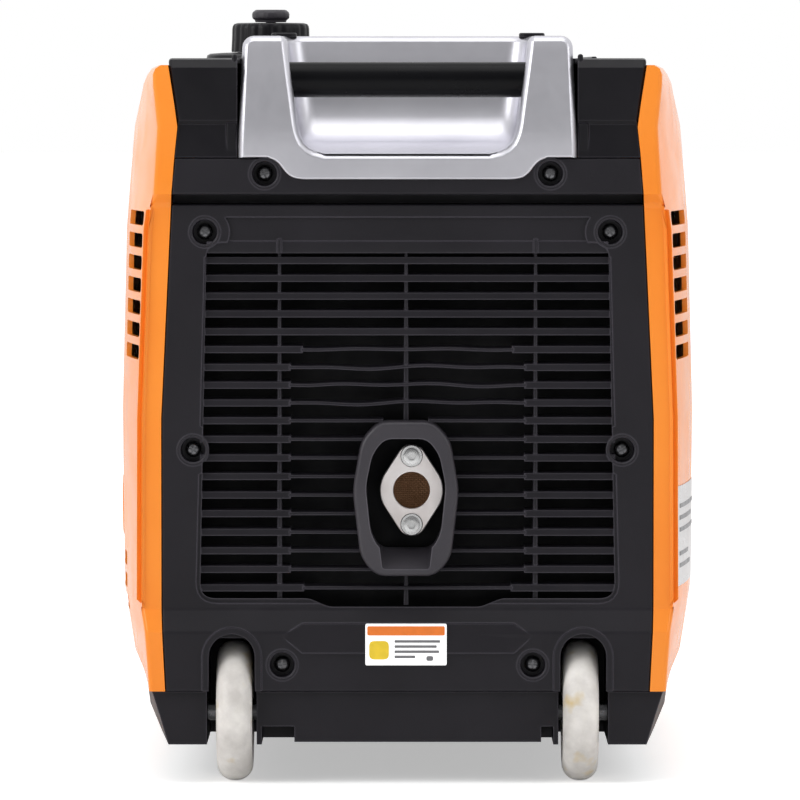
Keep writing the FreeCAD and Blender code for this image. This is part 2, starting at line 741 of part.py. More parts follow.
def fuel_cap_vent_knob():
    neck = rod((FILLER_X, FILLER_Y, CAP_TOP + 0.3), (0, 0, 1), 3, 9.7)
    grip = rod((FILLER_X, FILLER_Y, CAP_TOP + 2.3), (0, 0, 1), 5.6, 11.4)
    grip = grip.makeChamfer(1.2, [e for e in grip.Edges if e.BoundBox.ZMin > CAP_TOP + 7.8])
    stem = rod((FILLER_X, FILLER_Y, 439), (0, 0, 1), 10, 3)
    return fuse(neck, grip, stem)


# Recoil starter


def recoil_housing():
    shell = rod((-137, CRANK_Y, CRANK_Z), (1, 0, 0), 29, 78)
    space = rod((-134, CRANK_Y, CRANK_Z), (1, 0, 0), 30, 75)
    windows = []
    for index in range(8):
        angle = math.radians(45 * index + 22)
        y = CRANK_Y + 56 * math.cos(angle)
        z = CRANK_Z + 56 * math.sin(angle)
        windows.append(rod((-140, y, z), (1, 0, 0), 8, 12))
    post = rod((-134.5, CRANK_Y, CRANK_Z), (1, 0, 0), 16, 7)
    guide = rod((-140, CRANK_Y, ROPE_Z), (1, 0, 0), 6, ROPE_RADIUS + 0.6)
    guide_block = rod((-137, CRANK_Y, ROPE_Z), (1, 0, 0), 3, 10)
    return cut(fuse(cut(shell, space, *windows), post, guide_block), guide)


def recoil_pulley():
    sheave = rod((-132, CRANK_Y, CRANK_Z), (1, 0, 0), 12, 36)
    groove = ring((-129, CRANK_Y, CRANK_Z), (1, 0, 0), 6, 40, PULLEY_RADIUS)
    bore = rod((-133, CRANK_Y, CRANK_Z), (1, 0, 0), 14, 7 + FIT)
    return cut(sheave, groove, bore)


def recoil_rope():
    """The run of rope between the housing and the handle."""
    return rod((-157, CRANK_Y, ROPE_Z), (1, 0, 0), 20.5, ROPE_RADIUS)


def recoil_handle():
    grip = soft_box(-HALF_WIDTH, -160, -54, 34, 140, 166, 7, X_AXIS)
    grip = grip.makeFillet(4, [e for e in grip.Edges if e.BoundBox.XMax < -HALF_WIDTH + 0.1])
    stem = rod((-160, CRANK_Y, ROPE_Z), (1, 0, 0), 8, 7)
    hole = rod((-157, CRANK_Y, ROPE_Z), (1, 0, 0), 10, ROPE_RADIUS)
    return cut(fuse(grip, stem), hole)


# Engine and alternator


def tilted(shape):
    """A copy leaning with the cylinder, about the crankshaft."""
    leaning = shape.copy()
    leaning.rotate(Vector(CYLINDER_X, CRANK_Y, CRANK_Z), X_AXIS, CYLINDER_TILT)
    return leaning


def crankcase():
    block = soft_box(-30, 100, -88, 68, 62, 214, 10, X_AXIS)
    foot = soft_box(-36, 106, -112, 92, 55, 62, 5)
    seat = tilted(rod((CYLINDER_X, CRANK_Y, CRANK_Z), (0, 0, 1), BARREL_FOOT, 41))
    bore = rod((-40, CRANK_Y, CRANK_Z), (1, 0, 0), 160, CRANK_RADIUS + FIT)
    stator_nose = rod((-40, CRANK_Y, CRANK_Z), (1, 0, 0), 12, 25)
    filler = rod((80, 50, 85), (0, 1, 0.6), 30, 9)
    plug = rod((80, 75.7, 100.4), (0, 1, 0.6), 8, 12)
    return cut(fuse(block, foot, seat, stator_nose, filler, plug), bore)


def cylinder_head():
    """The finned barrel and head, with the rocker cover on top."""
    x = CYLINDER_X
    foot = CRANK_Z + BARREL_FOOT
    barrel = rod((x, CRANK_Y, foot), (0, 0, 1), 30, 33)
    fins = []
    for z in (foot + 3, foot + 9, foot + 15, foot + 21):
        fins.append(soft_box(x - 40, x + 40, CRANK_Y - 40, CRANK_Y + 40, z, z + 2, 8))
    cover = soft_box(x - 36, x + 36, CRANK_Y - 29, CRANK_Y + 29, foot + 27, foot + 50, 10)
    hole = rod((x + 22, CRANK_Y, PLUG_Z), (1, 0, 0), 30, 7)
    nut_space = rod((x + 31, CRANK_Y, PLUG_Z), (1, 0, 0), 20, 10)
    return tilted(cut(fuse(barrel, cover, *fins), hole, nut_space))


def spark_plug():
    x = CYLINDER_X + 23
    body = rod((x, CRANK_Y, PLUG_Z), (1, 0, 0), 9, 6.8)
    nut = rod((x + 9, CRANK_Y, PLUG_Z), (1, 0, 0), 8, 9)
    cap = rod((x + 17, CRANK_Y, PLUG_Z), (1, 0, 0), 26, 7.5)
    return tilted(fuse(body, nut, cap))


def crankshaft():
    shaft = rod((-106, CRANK_Y, CRANK_Z), (1, 0, 0), 214, CRANK_RADIUS)
    nose = rod((-114, CRANK_Y, CRANK_Z), (1, 0, 0), 8, 8)
    return fuse(shaft, nose)


def alternator_rotor():
    """The magnet bell around the stator."""
    bell = rod((-82, CRANK_Y, CRANK_Z), (1, 0, 0), 46, 66)
    space = rod((-78, CRANK_Y, CRANK_Z), (1, 0, 0), 50, 59)
    shaft = rod((-90, CRANK_Y, CRANK_Z), (1, 0, 0), 60, CRANK_RADIUS)
    return cut(bell, space, shaft)


def alternator_stator():
    core = ring((-76, CRANK_Y, CRANK_Z), (1, 0, 0), 32, 44, 26)
    teeth = []
    for index in range(18):
        tooth = box(-72, -48, CRANK_Y + 40, CRANK_Y + 57, CRANK_Z - 5, CRANK_Z + 5)
        tooth.rotate(Vector(0, CRANK_Y, CRANK_Z), X_AXIS, 20 * index)
        teeth.append(tooth)
    mount = ring((-44, CRANK_Y, CRANK_Z), (1, 0, 0), 4, 40, 20)
    return fuse(core, mount, *teeth)


def cooling_fan():
    plate = ring((-88, CRANK_Y, CRANK_Z), (1, 0, 0), 4, 70, CRANK_RADIUS)
    cup = ring((-104, CRANK_Y, CRANK_Z), (1, 0, 0), 16, 30, 26)
    blades = []
    for index in range(14):
        blade = box(-102, -88, CRANK_Y + 34, CRANK_Y + 70, CRANK_Z - 1, CRANK_Z + 1)
        blade.rotate(Vector(0, CRANK_Y + 52, CRANK_Z), X_AXIS, 25)
        blade.rotate(Vector(0, CRANK_Y, CRANK_Z), X_AXIS, 360 / 14 * index)
        blades.append(blade)
    return fuse(plate, cup, *blades)


def fan_shroud():
    drum = ring((-108, CRANK_Y, CRANK_Z), (1, 0, 0), 74, 80, 77)
    wall = ring((-34, CRANK_Y, CRANK_Z), (1, 0, 0), 3, 80, 44)
    return fuse(drum, wall)


def engine_mounts():
    mounts = []
    for x in (-22.0, 92.0):
        for y in (-96.0, 76.0):
            mounts.append(rod((x, y, FLOOR_TOP), (0, 0, 1), 28, 14))
    return Part.makeCompound(mounts)


def muffler_body():
    body = soft_box(-92, 92, -246, -152, 106, 262, 26, Y_AXIS)
    seam = soft_box(-96, 96, -202, -198, 102, 266, 28, Y_AXIS)
    inlet = rod((38, -153, 226), (0, 1, 0), 66, 15)
    hollow = soft_box(-90, 90, -244, -154, 108, 260, 24, Y_AXIS)
    outlet = rod((OUTLET_X, FLANGE_FACE + 22, OUTLET_Z), (0, 1, 0), 8, 11)
    head_space = tilted(box(-4, 80, -52, 32, 200, 300))
    return cut(fuse(body, seam, inlet), hollow, outlet, head_space)


def muffler_heat_shield():
    """A folded sheet over the muffler's top and the side that faces the engine."""
    top = box(-98, 98, -248, -142, 272, 273.5)
    side = box(-98, 98, -143.5, -142, 110, 273.5)
    inlet_hole = rod((38, -150, 226), (0, 1, 0), 12, 19)
    return cut(fuse(top, side), inlet_hole)


def air_cleaner_box():
    case = soft_box(4, 124, 62.5, 152, 216, 292, 9)
    rim = soft_box(2.5, 125.5, 61, 153.5, 262, 265, 10)
    return fuse(case, rim)


def carburettor():
    throat = rod((38, 16, 238), (0, 1, 0), 45, 14)
    bowl = rod((38, 38, 205), (0, 0, 1), 26, 15)
    body = soft_box(20, 56, 26, 52, 222, 252, 5, Y_AXIS)
    head_space = tilted(box(-4, 80, -52, 32, 200, 300))
    case_space = box(-40, 120, -90, 69, 60, 215)
    return cut(fuse(throat, bowl, body), head_space, case_space)


def inverter_module():
    case = soft_box(-124, -8, 112, 226, 30, 96, 6)
    fins = [box(x, x + 2, 114, 224, 96, 116) for x in range(-122, -8, 8)]
    return fuse(case, *fins)


def battery():
    case = soft_box(20, 118, 130, 226, 28, 118, 5)
    posts = [rod((x, 150, 118), (0, 0, 1), 8, 6) for x in (40, 98)]
    return fuse(case, *posts)


# Control panel


def control_panel():
    face = PANEL_FACE
    plate = soft_box(-PANEL_HALF, PANEL_HALF, face - 3, face, PANEL_LOW, PANEL_HIGH, 8, Y_AXIS)
    holes = []
    for x in SOCKETS:
        holes.append(soft_box(x - 17, x + 17, face - 5, face + 5, SOCKET_Z - 17, SOCKET_Z + 17, 8, Y_AXIS))
    holes.append(rod((DIAL[0], face - 5, DIAL[1]), (0, 1, 0), 10, 4 + FIT))
    holes.append(rod((START[0], face - 5, START[1]), (0, 1, 0), 10, 10 + FIT))
    holes.append(rod((BREAKER[0], face - 5, BREAKER[1]), (0, 1, 0), 10, 5 + FIT))
    x, z = ROCKER
    holes.append(box(x - 8, x + 8, face - 5, face + 5, z - 11.5, z + 11.5))
    holes.append(rod((x - 12, face - 1.5, z), (1, 0, 0), 24, 1 + FIT))
    x, z = DISPLAY
    holes.append(soft_box(x - 40, x + 40, face - 5, face + 5, z - 20, z + 20, 4, Y_AXIS))
    lugs = []
    hinge_holes = []
    for x in SOCKETS:
        for x0 in (x - COVER_HALF - 5, x + COVER_HALF + 0.5):
            lugs.append(box(x0, x0 + 4.5, face - 1, face + 7, SOCKET_Z + 22, SOCKET_Z + 30))
        hinge_start = (x - COVER_HALF - 4, face + 3.5, SOCKET_Z + 26)
        hinge_holes.append(rod(hinge_start, (1, 0, 0), 2 * COVER_HALF + 8, 1.5 + FIT))
    return cut(fuse(plate, *lugs), *holes, *hinge_holes)


def ac_sockets():
    sockets = []
    for x in SOCKETS:
        back = PANEL_FACE - 30
        body = soft_box(x - 17, x + 17, back, PANEL_FACE - 1, SOCKET_Z - 17, SOCKET_Z + 17, 8, Y_AXIS)
        slots = [
            box(x - 8, x - 6, PANEL_FACE - 16, PANEL_FACE, SOCKET_Z - 3, SOCKET_Z + 5),
            box(x + 6, x + 8, PANEL_FACE - 16, PANEL_FACE, SOCKET_Z - 3, SOCKET_Z + 5),
            rod((x, PANEL_FACE - 16, SOCKET_Z - 8), (0, 1, 0), 20, 2.6),
        ]
        sockets.append(cut(body, *slots))
    return Part.makeCompound(sockets)


def socket_cover(x):
    left = x - COVER_HALF
    right = x + COVER_HALF
    hinge_y = PANEL_FACE + 3.5
    flap = soft_box(left, right, PANEL_FACE + 2, PANEL_FACE + 5.5, SOCKET_Z - 23, SOCKET_Z + 24, 5, Y_AXIS)
    knuckle = rod((left, hinge_y, SOCKET_Z + 26), (1, 0, 0), right - left, 3)
    pin = rod((left - 3.5, hinge_y, SOCKET_Z + 26), (1, 0, 0), right - left + 7, 1.5)
    return fuse(flap, knuckle, pin)


def engine_dial():
    x, z = DIAL
    knob = rod((x, PANEL_FACE + 1, z), (0, 1, 0), 6, 21)
    knob = knob.makeFillet(1.5, [e for e in knob.Edges if e.BoundBox.YMin > PANEL_FACE + 6.9])
    bar = soft_box(x - 5, x + 5, PANEL_FACE + 6, PANEL_FACE + 19, z - 19, z + 19, 3, Y_AXIS)
    stem = rod((x, PANEL_FACE - 14, z), (0, 1, 0), 16, 4)
    return fuse(knob, bar, stem)


def eco_rocker():
    x, z = ROCKER
    cap = slab_yz(
        [
            (PANEL_FACE - 6, z - 6), (PANEL_FACE - 0.5, z - 10.3), (PANEL_FACE + 3.5, z - 10),
            (PANEL_FACE + 1.5, z),
            (PANEL_FACE + 3.5, z + 10), (PANEL_FACE - 0.5, z + 10.3), (PANEL_FACE - 6, z + 6),
        ],
        x - 7, x + 7,
    )
    return fuse(cap, rod((x - 10, PANEL_FACE - 1.5, z), (1, 0, 0), 20, 1))


def start_button():
    x, z = START
    button = rod((x, PANEL_FACE - 12, z), (0, 1, 0), 17, 10)
    return button.makeFillet(1.2, [e for e in button.Edges if e.BoundBox.YMin > PANEL_FACE + 4.9])


def ac_breaker_button():
    x, z = BREAKER
    return rod((x, PANEL_FACE - 12, z), (0, 1, 0), 15, 5)


def display_lens():
    x, z = DISPLAY
    return soft_box(x - 39.8, x + 39.8, PANEL_FACE - 4, PANEL_FACE - 0.5, z - 19.8, z + 19.8, 4, Y_AXIS)


PIECES = {
    "base_tray": base_tray(),
    "front_feet": front_feet(),
    "left_wheel_tyre": wheel_tyre(-1),
    "left_wheel_hub": wheel_hub(-1),
    "left_wheel_bearings": wheel_bearings(-1),
    "right_wheel_tyre": wheel_tyre(1),
    "right_wheel_hub": wheel_hub(1),
    "right_wheel_bearings": wheel_bearings(1),
    "wheel_bolts": wheel_bolts(),
    "rear_cover": rear_cover(),
    "front_cover": front_cover(),
    "cover_screws": cover_screws(),
    "exhaust_bezel": exhaust_bezel(),
    "muffler_outlet_flange": muffler_outlet_flange(),
    "spark_arrestor_mesh": spark_arrestor_mesh(),
    "flange_screws": flange_screws(),
    "rear_label": warning_label(-24.5, 23, 70.3, 94),
    "left_side_panel": left_side_panel(),
    "right_side_panel": right_side_panel(),
    "service_door": service_door(),
    "service_door_latch": service_door_latch(),
    "top_cover": top_cover(),
    "rear_handle_frame": handle_frame(),
    "rear_grip_tube": grip_tube(),
    "front_handle_frame": at_front(handle_frame()),
    "front_grip_tube": at_front(grip_tube()),
    "handle_plugs": handle_plugs(),
    "fuel_tank": fuel_tank(),
    "fuel_filler_neck": fuel_filler_neck(),
    "fuel_cap_gasket": fuel_cap_gasket(),
    "fuel_cap": fuel_cap(),
    "fuel_cap_vent_knob": fuel_cap_vent_knob(),
    "recoil_housing": recoil_housing(),
    "recoil_pulley": recoil_pulley(),
    "recoil_rope": recoil_rope(),
    "recoil_handle": recoil_handle(),
    "crankcase": crankcase(),
    "cylinder_head": cylinder_head(),
    "spark_plug": spark_plug(),
    "crankshaft": crankshaft(),
    "alternator_rotor": alternator_rotor(),
    "alternator_stator": alternator_stator(),
    "cooling_fan": cooling_fan(),
    "fan_shroud": fan_shroud(),
    "engine_mounts": engine_mounts(),
    "muffler_body": muffler_body(),
    "muffler_heat_shield": muffler_heat_shield(),
    "air_cleaner_box": air_cleaner_box(),
    "carburettor": carburettor(),
    "inverter_module": inverter_module(),
    "battery": battery(),
    "control_panel": control_panel(),
    "ac_sockets": ac_sockets(),
    "left_socket_cover": socket_cover(SOCKETS[1]),
    "right_socket_cover": socket_cover(SOCKETS[0]),
    "engine_dial": engine_dial(),
    "eco_rocker": eco_rocker(),
    "start_button": start_button(),
    "ac_breaker_button": ac_breaker_button(),
    "display_lens": display_lens(),
}

os.makedirs("parts", exist_ok=True)
for name, shape in PIECES.items():
    shape.exportStep(f"parts/{name}.step")
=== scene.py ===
"""Portable generator: the finished look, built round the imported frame.

Sizes and places are in millimetres in the frame of the machine: the exhaust end faces -Y, +X is
to the right seen from that end, and +Z is up. The helpers turn them into metres.
"""

import bpy
import bmesh
import math
import random
from mathutils import Matrix, Vector


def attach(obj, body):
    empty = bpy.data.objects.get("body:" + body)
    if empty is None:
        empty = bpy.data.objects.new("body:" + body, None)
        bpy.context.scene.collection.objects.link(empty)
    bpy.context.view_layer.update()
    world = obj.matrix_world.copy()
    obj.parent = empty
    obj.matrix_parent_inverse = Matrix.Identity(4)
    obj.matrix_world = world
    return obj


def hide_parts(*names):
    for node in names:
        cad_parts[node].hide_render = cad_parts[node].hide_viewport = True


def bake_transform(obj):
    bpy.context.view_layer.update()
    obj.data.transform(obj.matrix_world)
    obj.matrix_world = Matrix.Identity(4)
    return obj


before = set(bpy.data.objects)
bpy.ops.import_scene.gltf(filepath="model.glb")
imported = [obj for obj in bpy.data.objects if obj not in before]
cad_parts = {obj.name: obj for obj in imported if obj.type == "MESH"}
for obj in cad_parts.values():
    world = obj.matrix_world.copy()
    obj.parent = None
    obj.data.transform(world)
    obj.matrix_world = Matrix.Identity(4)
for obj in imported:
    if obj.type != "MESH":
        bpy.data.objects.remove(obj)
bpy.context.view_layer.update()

MM = 0.001
MACHINE = "machine"

# The body, as the frame has it
END_FACE = 288.0  # face of either end cover
STEP = 7.0  # the middle of an end cover lies back by this much
BODY_BOTTOM = 54.5
BODY_TOP = 419.0
LEDGE_LOW = 89.0
LEDGE_TOP = 102.0
PANEL_TOP = 338.0
BAND_LOW = 344.0
BAND_TOP = 365.0
# (height, half-width) of the seam between an end cover and the side panels
SEAM = (
    (50.0, 141.0), (100.0, 143.5), (213.0, 143.5), (340.0, 137.5), (365.0, 135.5), (384.0, 133.5),
    (430.0, 140.6),
)
# Half-widths over the side panels at these heights, at the ends and in the middle
HEIGHTS = (54.5, 72.0, 108.0, 213.0, 323.0, 346.0, 383.0, 408.0, 413.5, 417.0, 419.0)
END_WIDTHS = (150.5, 151.5, 154.0, 153.4, 149.4, 147.0, 144.8, 147.5, 147.7, 146.3, 143.0)
MIDDLE_WIDTHS = (154.0, 164.0, 170.0, 171.2, 168.5, 166.8, 163.6, 158.0, 155.4, 152.6, 148.0)
TAPER = 150.0
SCREWS = ((83.0, 356.0), (118.0, 322.0), (125.0, 195.0), (73.0, 70.0))
WINDOW_TOP = 316.0


# Handling of Blender's selection


def clear():
    """Object mode, with nothing selected."""
    if bpy.context.mode != "OBJECT":
        bpy.ops.object.mode_set(mode="OBJECT")
    bpy.ops.object.select_all(action="DESELECT")


def pick(*objects):
    """Selects these objects only; the first is the active one."""
    clear()
    for obj in objects:
        obj.select_set(True)
    bpy.context.view_layer.objects.active = objects[0]


def settle(obj):
    """Puts the object's place, turn and size into its mesh."""
    pick(obj)
    bpy.ops.object.transform_apply(location=True, rotation=True, scale=True)
    return obj


def edit(obj, kind="EDGE"):
    pick(obj)
    bpy.ops.object.mode_set(mode="EDIT")
    bpy.ops.mesh.select_mode(type=kind)


def leave():
    bpy.ops.object.mode_set(mode="OBJECT")


def face_out(obj):
    """Merges doubles and turns all faces outwards."""
    edit(obj)
    bpy.ops.mesh.select_all(action="SELECT")
    bpy.ops.mesh.remove_doubles(threshold=0.00001)
    bpy.ops.mesh.normals_make_consistent(inside=False)
    leave()
    return obj


def round_edges(obj, radius, segments=2, where=None, sharp=28, clamp=True, form=0.5):
    """Bevels the sharp edges, or those of them whose middle passes the where test (in mm)."""
    edit(obj)
    bpy.ops.mesh.select_all(action="DESELECT")
    bpy.ops.mesh.edges_select_sharp(sharpness=math.radians(sharp))
    if where:
        shape = bmesh.from_edit_mesh(obj.data)
        for edge in shape.edges:
            if edge.select:
                middle = (edge.verts[0].co + edge.verts[1].co) / (2 * MM)
                edge.select_set(bool(where(middle)))
        bmesh.update_edit_mesh(obj.data)
    bpy.ops.mesh.bevel(
        offset=radius * MM, segments=segments, affect="EDGES", clamp_overlap=clamp, profile=form
    )
    leave()
    return obj


def merge_flat(obj, angle=0.6):
    """Joins faces that lie in one plane, so that edges along them run clean."""
    edit(obj)
    bpy.ops.mesh.select_all(action="SELECT")
    bpy.ops.mesh.remove_doubles(threshold=0.00001)
    bpy.ops.mesh.dissolve_limited(angle_limit=math.radians(angle))
    leave()
    return obj


def smooth(obj, angle=32):
    pick(obj)
    bpy.ops.object.shade_smooth_by_angle(angle=math.radians(angle))
    weigh = obj.modifiers.new("even shading", "WEIGHTED_NORMAL")
    weigh.keep_sharp = True
    bpy.ops.object.modifier_apply(modifier=weigh.name)
    return obj


def join(objects):
    """One object of several."""
    pick(*objects)
    if len(objects) > 1:
        bpy.ops.object.join()
    return bpy.context.view_layer.objects.active


def copy_of(obj):
    twin = obj.copy()
    twin.data = obj.data.copy()
    bpy.context.scene.collection.objects.link(twin)
    return twin


def flipped(obj, axis=0):
    """A mirrored copy, with its faces turned outwards again."""
    twin = copy_of(obj)
    signs = [1, 1, 1]
    signs[axis] = -1
    twin.data.transform(Matrix.Diagonal(signs + [1]))
    twin.data.flip_normals()
    return twin


def turned_over(obj):
    """The piece itself, moved to its mirrored place on the left."""
    twin = flipped(obj)
    drop(obj)
    return twin


def both_sides(obj):
    return [obj, flipped(obj)]


def drop(obj):
    mesh = obj.data
    bpy.data.objects.remove(obj, do_unlink=True)
    bpy.data.meshes.remove(mesh)


def carve(obj, tools, operation="DIFFERENCE"):
    """Cuts every tool out of the object and throws the tools away."""
    for tool in tools:
        cutter = obj.modifiers.new("carve", "BOOLEAN")
        cutter.object = tool
        cutter.operation = operation
        cutter.solver = "EXACT"
        pick(obj)
        bpy.ops.object.modifier_apply(modifier=cutter.name)
        drop(tool)
    return obj


# Shapes


def block(x0, x1, y0, y1, z0, z1, radius=0.0, segments=2):
    """A box with rounded edges."""
    clear()
    centre = [(a + b) / 2 * MM for a, b in ((x0, x1), (y0, y1), (z0, z1))]
    size = [(b - a) * MM for a, b in ((x0, x1), (y0, y1), (z0, z1))]
    bpy.ops.mesh.primitive_cube_add(size=1, location=centre, scale=size)
    obj = settle(bpy.context.object)
    if radius:
        round_edges(obj, radius, segments)
    return obj


def slab(points, axis, low, high, radius=0.0, segments=2, where=None):
    """A flat outline pushed from low to high along x, y or z, with rounded edges."""
    clear()
    bpy.ops.mesh.primitive_circle_add(vertices=len(points), fill_type="NGON")
    obj = bpy.context.object
    index = "xyz".index(axis)
    for vertex, (a, b) in zip(obj.data.vertices, points):
        place = [a, b]
        place.insert(index, low)
        vertex.co = Vector(place) * MM
    push = [0.0, 0.0, 0.0]
    push[index] = (high - low) * MM
    edit(obj, "FACE")
    bpy.ops.mesh.select_all(action="SELECT")
    bpy.ops.mesh.extrude_region_move(TRANSFORM_OT_translate={"value": push})
    face_out(obj)
    if radius:
        round_edges(obj, radius, segments, where)
    return obj


def turned(profile, axis, centre, steps=64):
    """A closed (radius, distance) profile spun round an axis through centre."""
    clear()
    bpy.ops.mesh.primitive_circle_add(vertices=len(profile), fill_type="NOTHING")
    obj = bpy.context.object
    index = "xyz".index(axis)
    side = (index + 1) % 3
    for vertex, (radius, along) in zip(obj.data.vertices, profile):
        place = list(centre)
        place[index] += along
        place[side] += radius
        vertex.co = Vector(place) * MM
    direction = [0.0, 0.0, 0.0]
    direction[index] = 1.0
    edit(obj)
    bpy.ops.mesh.select_all(action="SELECT")
    bpy.ops.mesh.spin(
        steps=steps, angle=math.tau, center=[c * MM for c in centre], axis=direction
    )
    return face_out(obj)


def rod(axis, start, length, radius, edge=0.5, sides=40):
    """A closed round bar with softened ends, from start along an axis."""
    inset = edge * 0.3
    profile = [
        (0.0, 0.0), (radius - edge, 0.0), (radius - inset, inset), (radius, edge),
        (radius, length - edge), (radius - inset, length - inset), (radius - edge, length), (0.0, length),
    ]
    return turned(profile, axis, start, sides)


def between(table, height):
    for (z0, w0), (z1, w1) in zip(table, table[1:]):
        if z0 <= height <= z1:
            return w0 + (w1 - w0) * (height - z0) / (z1 - z0)
    return table[-1][1]


def arc(cx, cy, radius, start, end, count):
    """Points on an arc, angles in degrees."""
    angles = [math.radians(start + (end - start) * i / count) for i in range(count + 1)]
    return [(cx + radius * math.cos(a), cy + radius * math.sin(a)) for a in angles]


def netting(rows):
    """An open surface through rows of points, all rows with the same number of them."""
    columns = len(rows[0])
    clear()
    bpy.ops.mesh.primitive_grid_add(x_subdivisions=columns - 1, y_subdivisions=len(rows) - 1, size=1)
    obj = bpy.context.object
    for vertex, point in zip(obj.data.vertices, [point for row in rows for point in row]):
        vertex.co = Vector(point) * MM
    return obj


def stacked(rows):
    """A closed solid through a list of outlines with the same number of points."""
    obj = netting([row + row[:1] for row in rows])
    edit(obj)
    bpy.ops.mesh.select_all(action="SELECT")
    bpy.ops.mesh.remove_doubles(threshold=0.000001)
    bpy.ops.mesh.select_all(action="DESELECT")
    bpy.ops.mesh.select_non_manifold()
    bpy.ops.mesh.fill_holes(sides=0)
    leave()
    return face_out(obj)


def rounded_outline(points, radius, count=4):
    """The outline with each corner replaced by a short curve; radius may be one number or a list."""
    out = []
    for i, corner in enumerate(points):
        r = radius[i] if isinstance(radius, (list, tuple)) else radius
        here = Vector(corner)
        before = Vector(points[i - 1]) - here
        after = Vector(points[(i + 1) % len(points)]) - here
        reach = min(r, before.length * 0.48, after.length * 0.48)
        if reach < 0.05:
            out.append(tuple(here))
            continue
        a = here + before.normalized() * reach
        b = here + after.normalized() * reach
        for step in range(count + 1):
            t = step / count
            out.append(tuple(a * (1 - t) ** 2 + here * 2 * t * (1 - t) + b * t * t))
    return out


def rectangle(x0, x1, z0, z1, radius=0.0, count=4):
    """A rectangle's outline with rounded corners."""
    return rounded_outline([(x0, z0), (x1, z0), (x1, z1), (x0, z1)], radius, count)


def hexagon(a, b, radius):
    """A hexagon's outline round a point."""
    turns = [math.pi / 3 * i for i in range(6)]
    return [(a + radius * math.cos(t), b + radius * math.sin(t)) for t in turns]


def softened(node, radius=0.5, segments=2, sharp=28):
    """A copy of a plain frame piece with its flat faces made whole and its edges rounded."""
    twin = copy_of(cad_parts[node])
    edit(twin)
    bpy.ops.mesh.select_all(action="SELECT")
    bpy.ops.mesh.remove_doubles(threshold=0.00001)
    bpy.ops.mesh.dissolve_limited(angle_limit=math.radians(1.5))
    leave()
    round_edges(twin, radius, segments, sharp=sharp)
    return twin


def place(obj, name, look, node=None, body=MACHINE, angle=32, also=()):
    """Names a finished piece, gives it its finish and hangs it on its body."""
    finish = FINISHES[look]
    smooth(obj, angle)
    obj.name = name
    obj.data.materials.clear()
    obj.data.materials.append(finish)
    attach(obj, body)
    if node:
        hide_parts(node, *also)
    return obj


# Finishes


def new_finish(name):
    material = bpy.data.materials.new(name)
    material.use_nodes = True
    nodes = material.node_tree.nodes
    shader = nodes["Principled BSDF"]
    where = nodes.new("ShaderNodeTexCoord")
    return material, material.node_tree, shader, where.outputs["Object"]


def noise(tree, where, scale, detail=3.0, rough=0.5, stretch=None):
    """A noise pattern, stretched where stretch gives a factor for each axis."""
    if stretch:
        mapping = tree.nodes.new("ShaderNodeMapping")
        mapping.inputs["Scale"].default_value = stretch
        tree.links.new(where, mapping.inputs["Vector"])
        where = mapping.outputs["Vector"]
    texture = tree.nodes.new("ShaderNodeTexNoise")
    texture.inputs["Scale"].default_value = scale
    texture.inputs["Detail"].default_value = detail
    texture.inputs["Roughness"].default_value = rough
    tree.links.new(where, texture.inputs["Vector"])
    return texture.outputs["Fac"]


def ramp(tree, value, low, high, at=(0.35, 0.65)):
    """Turns a 0 to 1 value into a colour or a grey between low and high."""
    node = tree.nodes.new("ShaderNodeValToRGB")
    stops = node.color_ramp.elements
    for stop, place_, colour in zip(stops, at, (low, high)):
        stop.position = place_
        stop.color = colour if isinstance(colour, tuple) else (colour, colour, colour, 1.0)
    tree.links.new(value, node.inputs["Fac"])
    return node.outputs["Color"]


def bump(tree, shader, height, strength, distance):
    node = tree.nodes.new("ShaderNodeBump")
    node.inputs["Strength"].default_value = strength
    node.inputs["Distance"].default_value = distance
    tree.links.new(height, node.inputs["Height"])
    tree.links.new(node.outputs["Normal"], shader.inputs["Normal"])


def edge_mask(tree, radius):
    """1 along the edges of a shape and 0 on its faces."""
    soft = tree.nodes.new("ShaderNodeBevel")
    soft.samples = 6
    soft.inputs["Radius"].default_value = radius
    true = tree.nodes.new("ShaderNodeNewGeometry")
    alike = tree.nodes.new("ShaderNodeVectorMath")
    alike.operation = "DOT_PRODUCT"
    tree.links.new(soft.outputs["Normal"], alike.inputs[0])
    tree.links.new(true.outputs["Normal"], alike.inputs[1])
    return ramp(tree, alike.outputs["Value"], 1.0, 0.0, (0.86, 0.985))


def moulded(name, dark, light, rough, grain=1800.0, depth=0.35, gloss=0.5, edge_highlight=None):
    """Moulded plastic: a slight drift of tone, a fine spark texture, an uneven sheen, and a painted highlight:
    a lighter colour along the edges.
    """
    material, tree, shader, where = new_finish(name)
    tone = ramp(tree, noise(tree, where, 14, 4), dark, light)
    # Painted highlight: convex edges get a lighter colour, standing in for the light that rounded edges catch.
    if edge_highlight:
        mix = tree.nodes.new("ShaderNodeMix")
        mix.data_type = "RGBA"
        tree.links.new(edge_mask(tree, 0.0014), mix.inputs["Factor"])
        tree.links.new(tone, mix.inputs["A"])
        mix.inputs["B"].default_value = edge_highlight
        tone = mix.outputs["Result"]
    tree.links.new(tone, shader.inputs["Base Color"])
    tree.links.new(ramp(tree, noise(tree, where, 60, 3), rough[0], rough[1]), shader.inputs["Roughness"])
    shader.inputs["Specular IOR Level"].default_value = gloss
    bump(tree, shader, noise(tree, where, grain, 2, 0.6), depth, 0.0002)
    return material


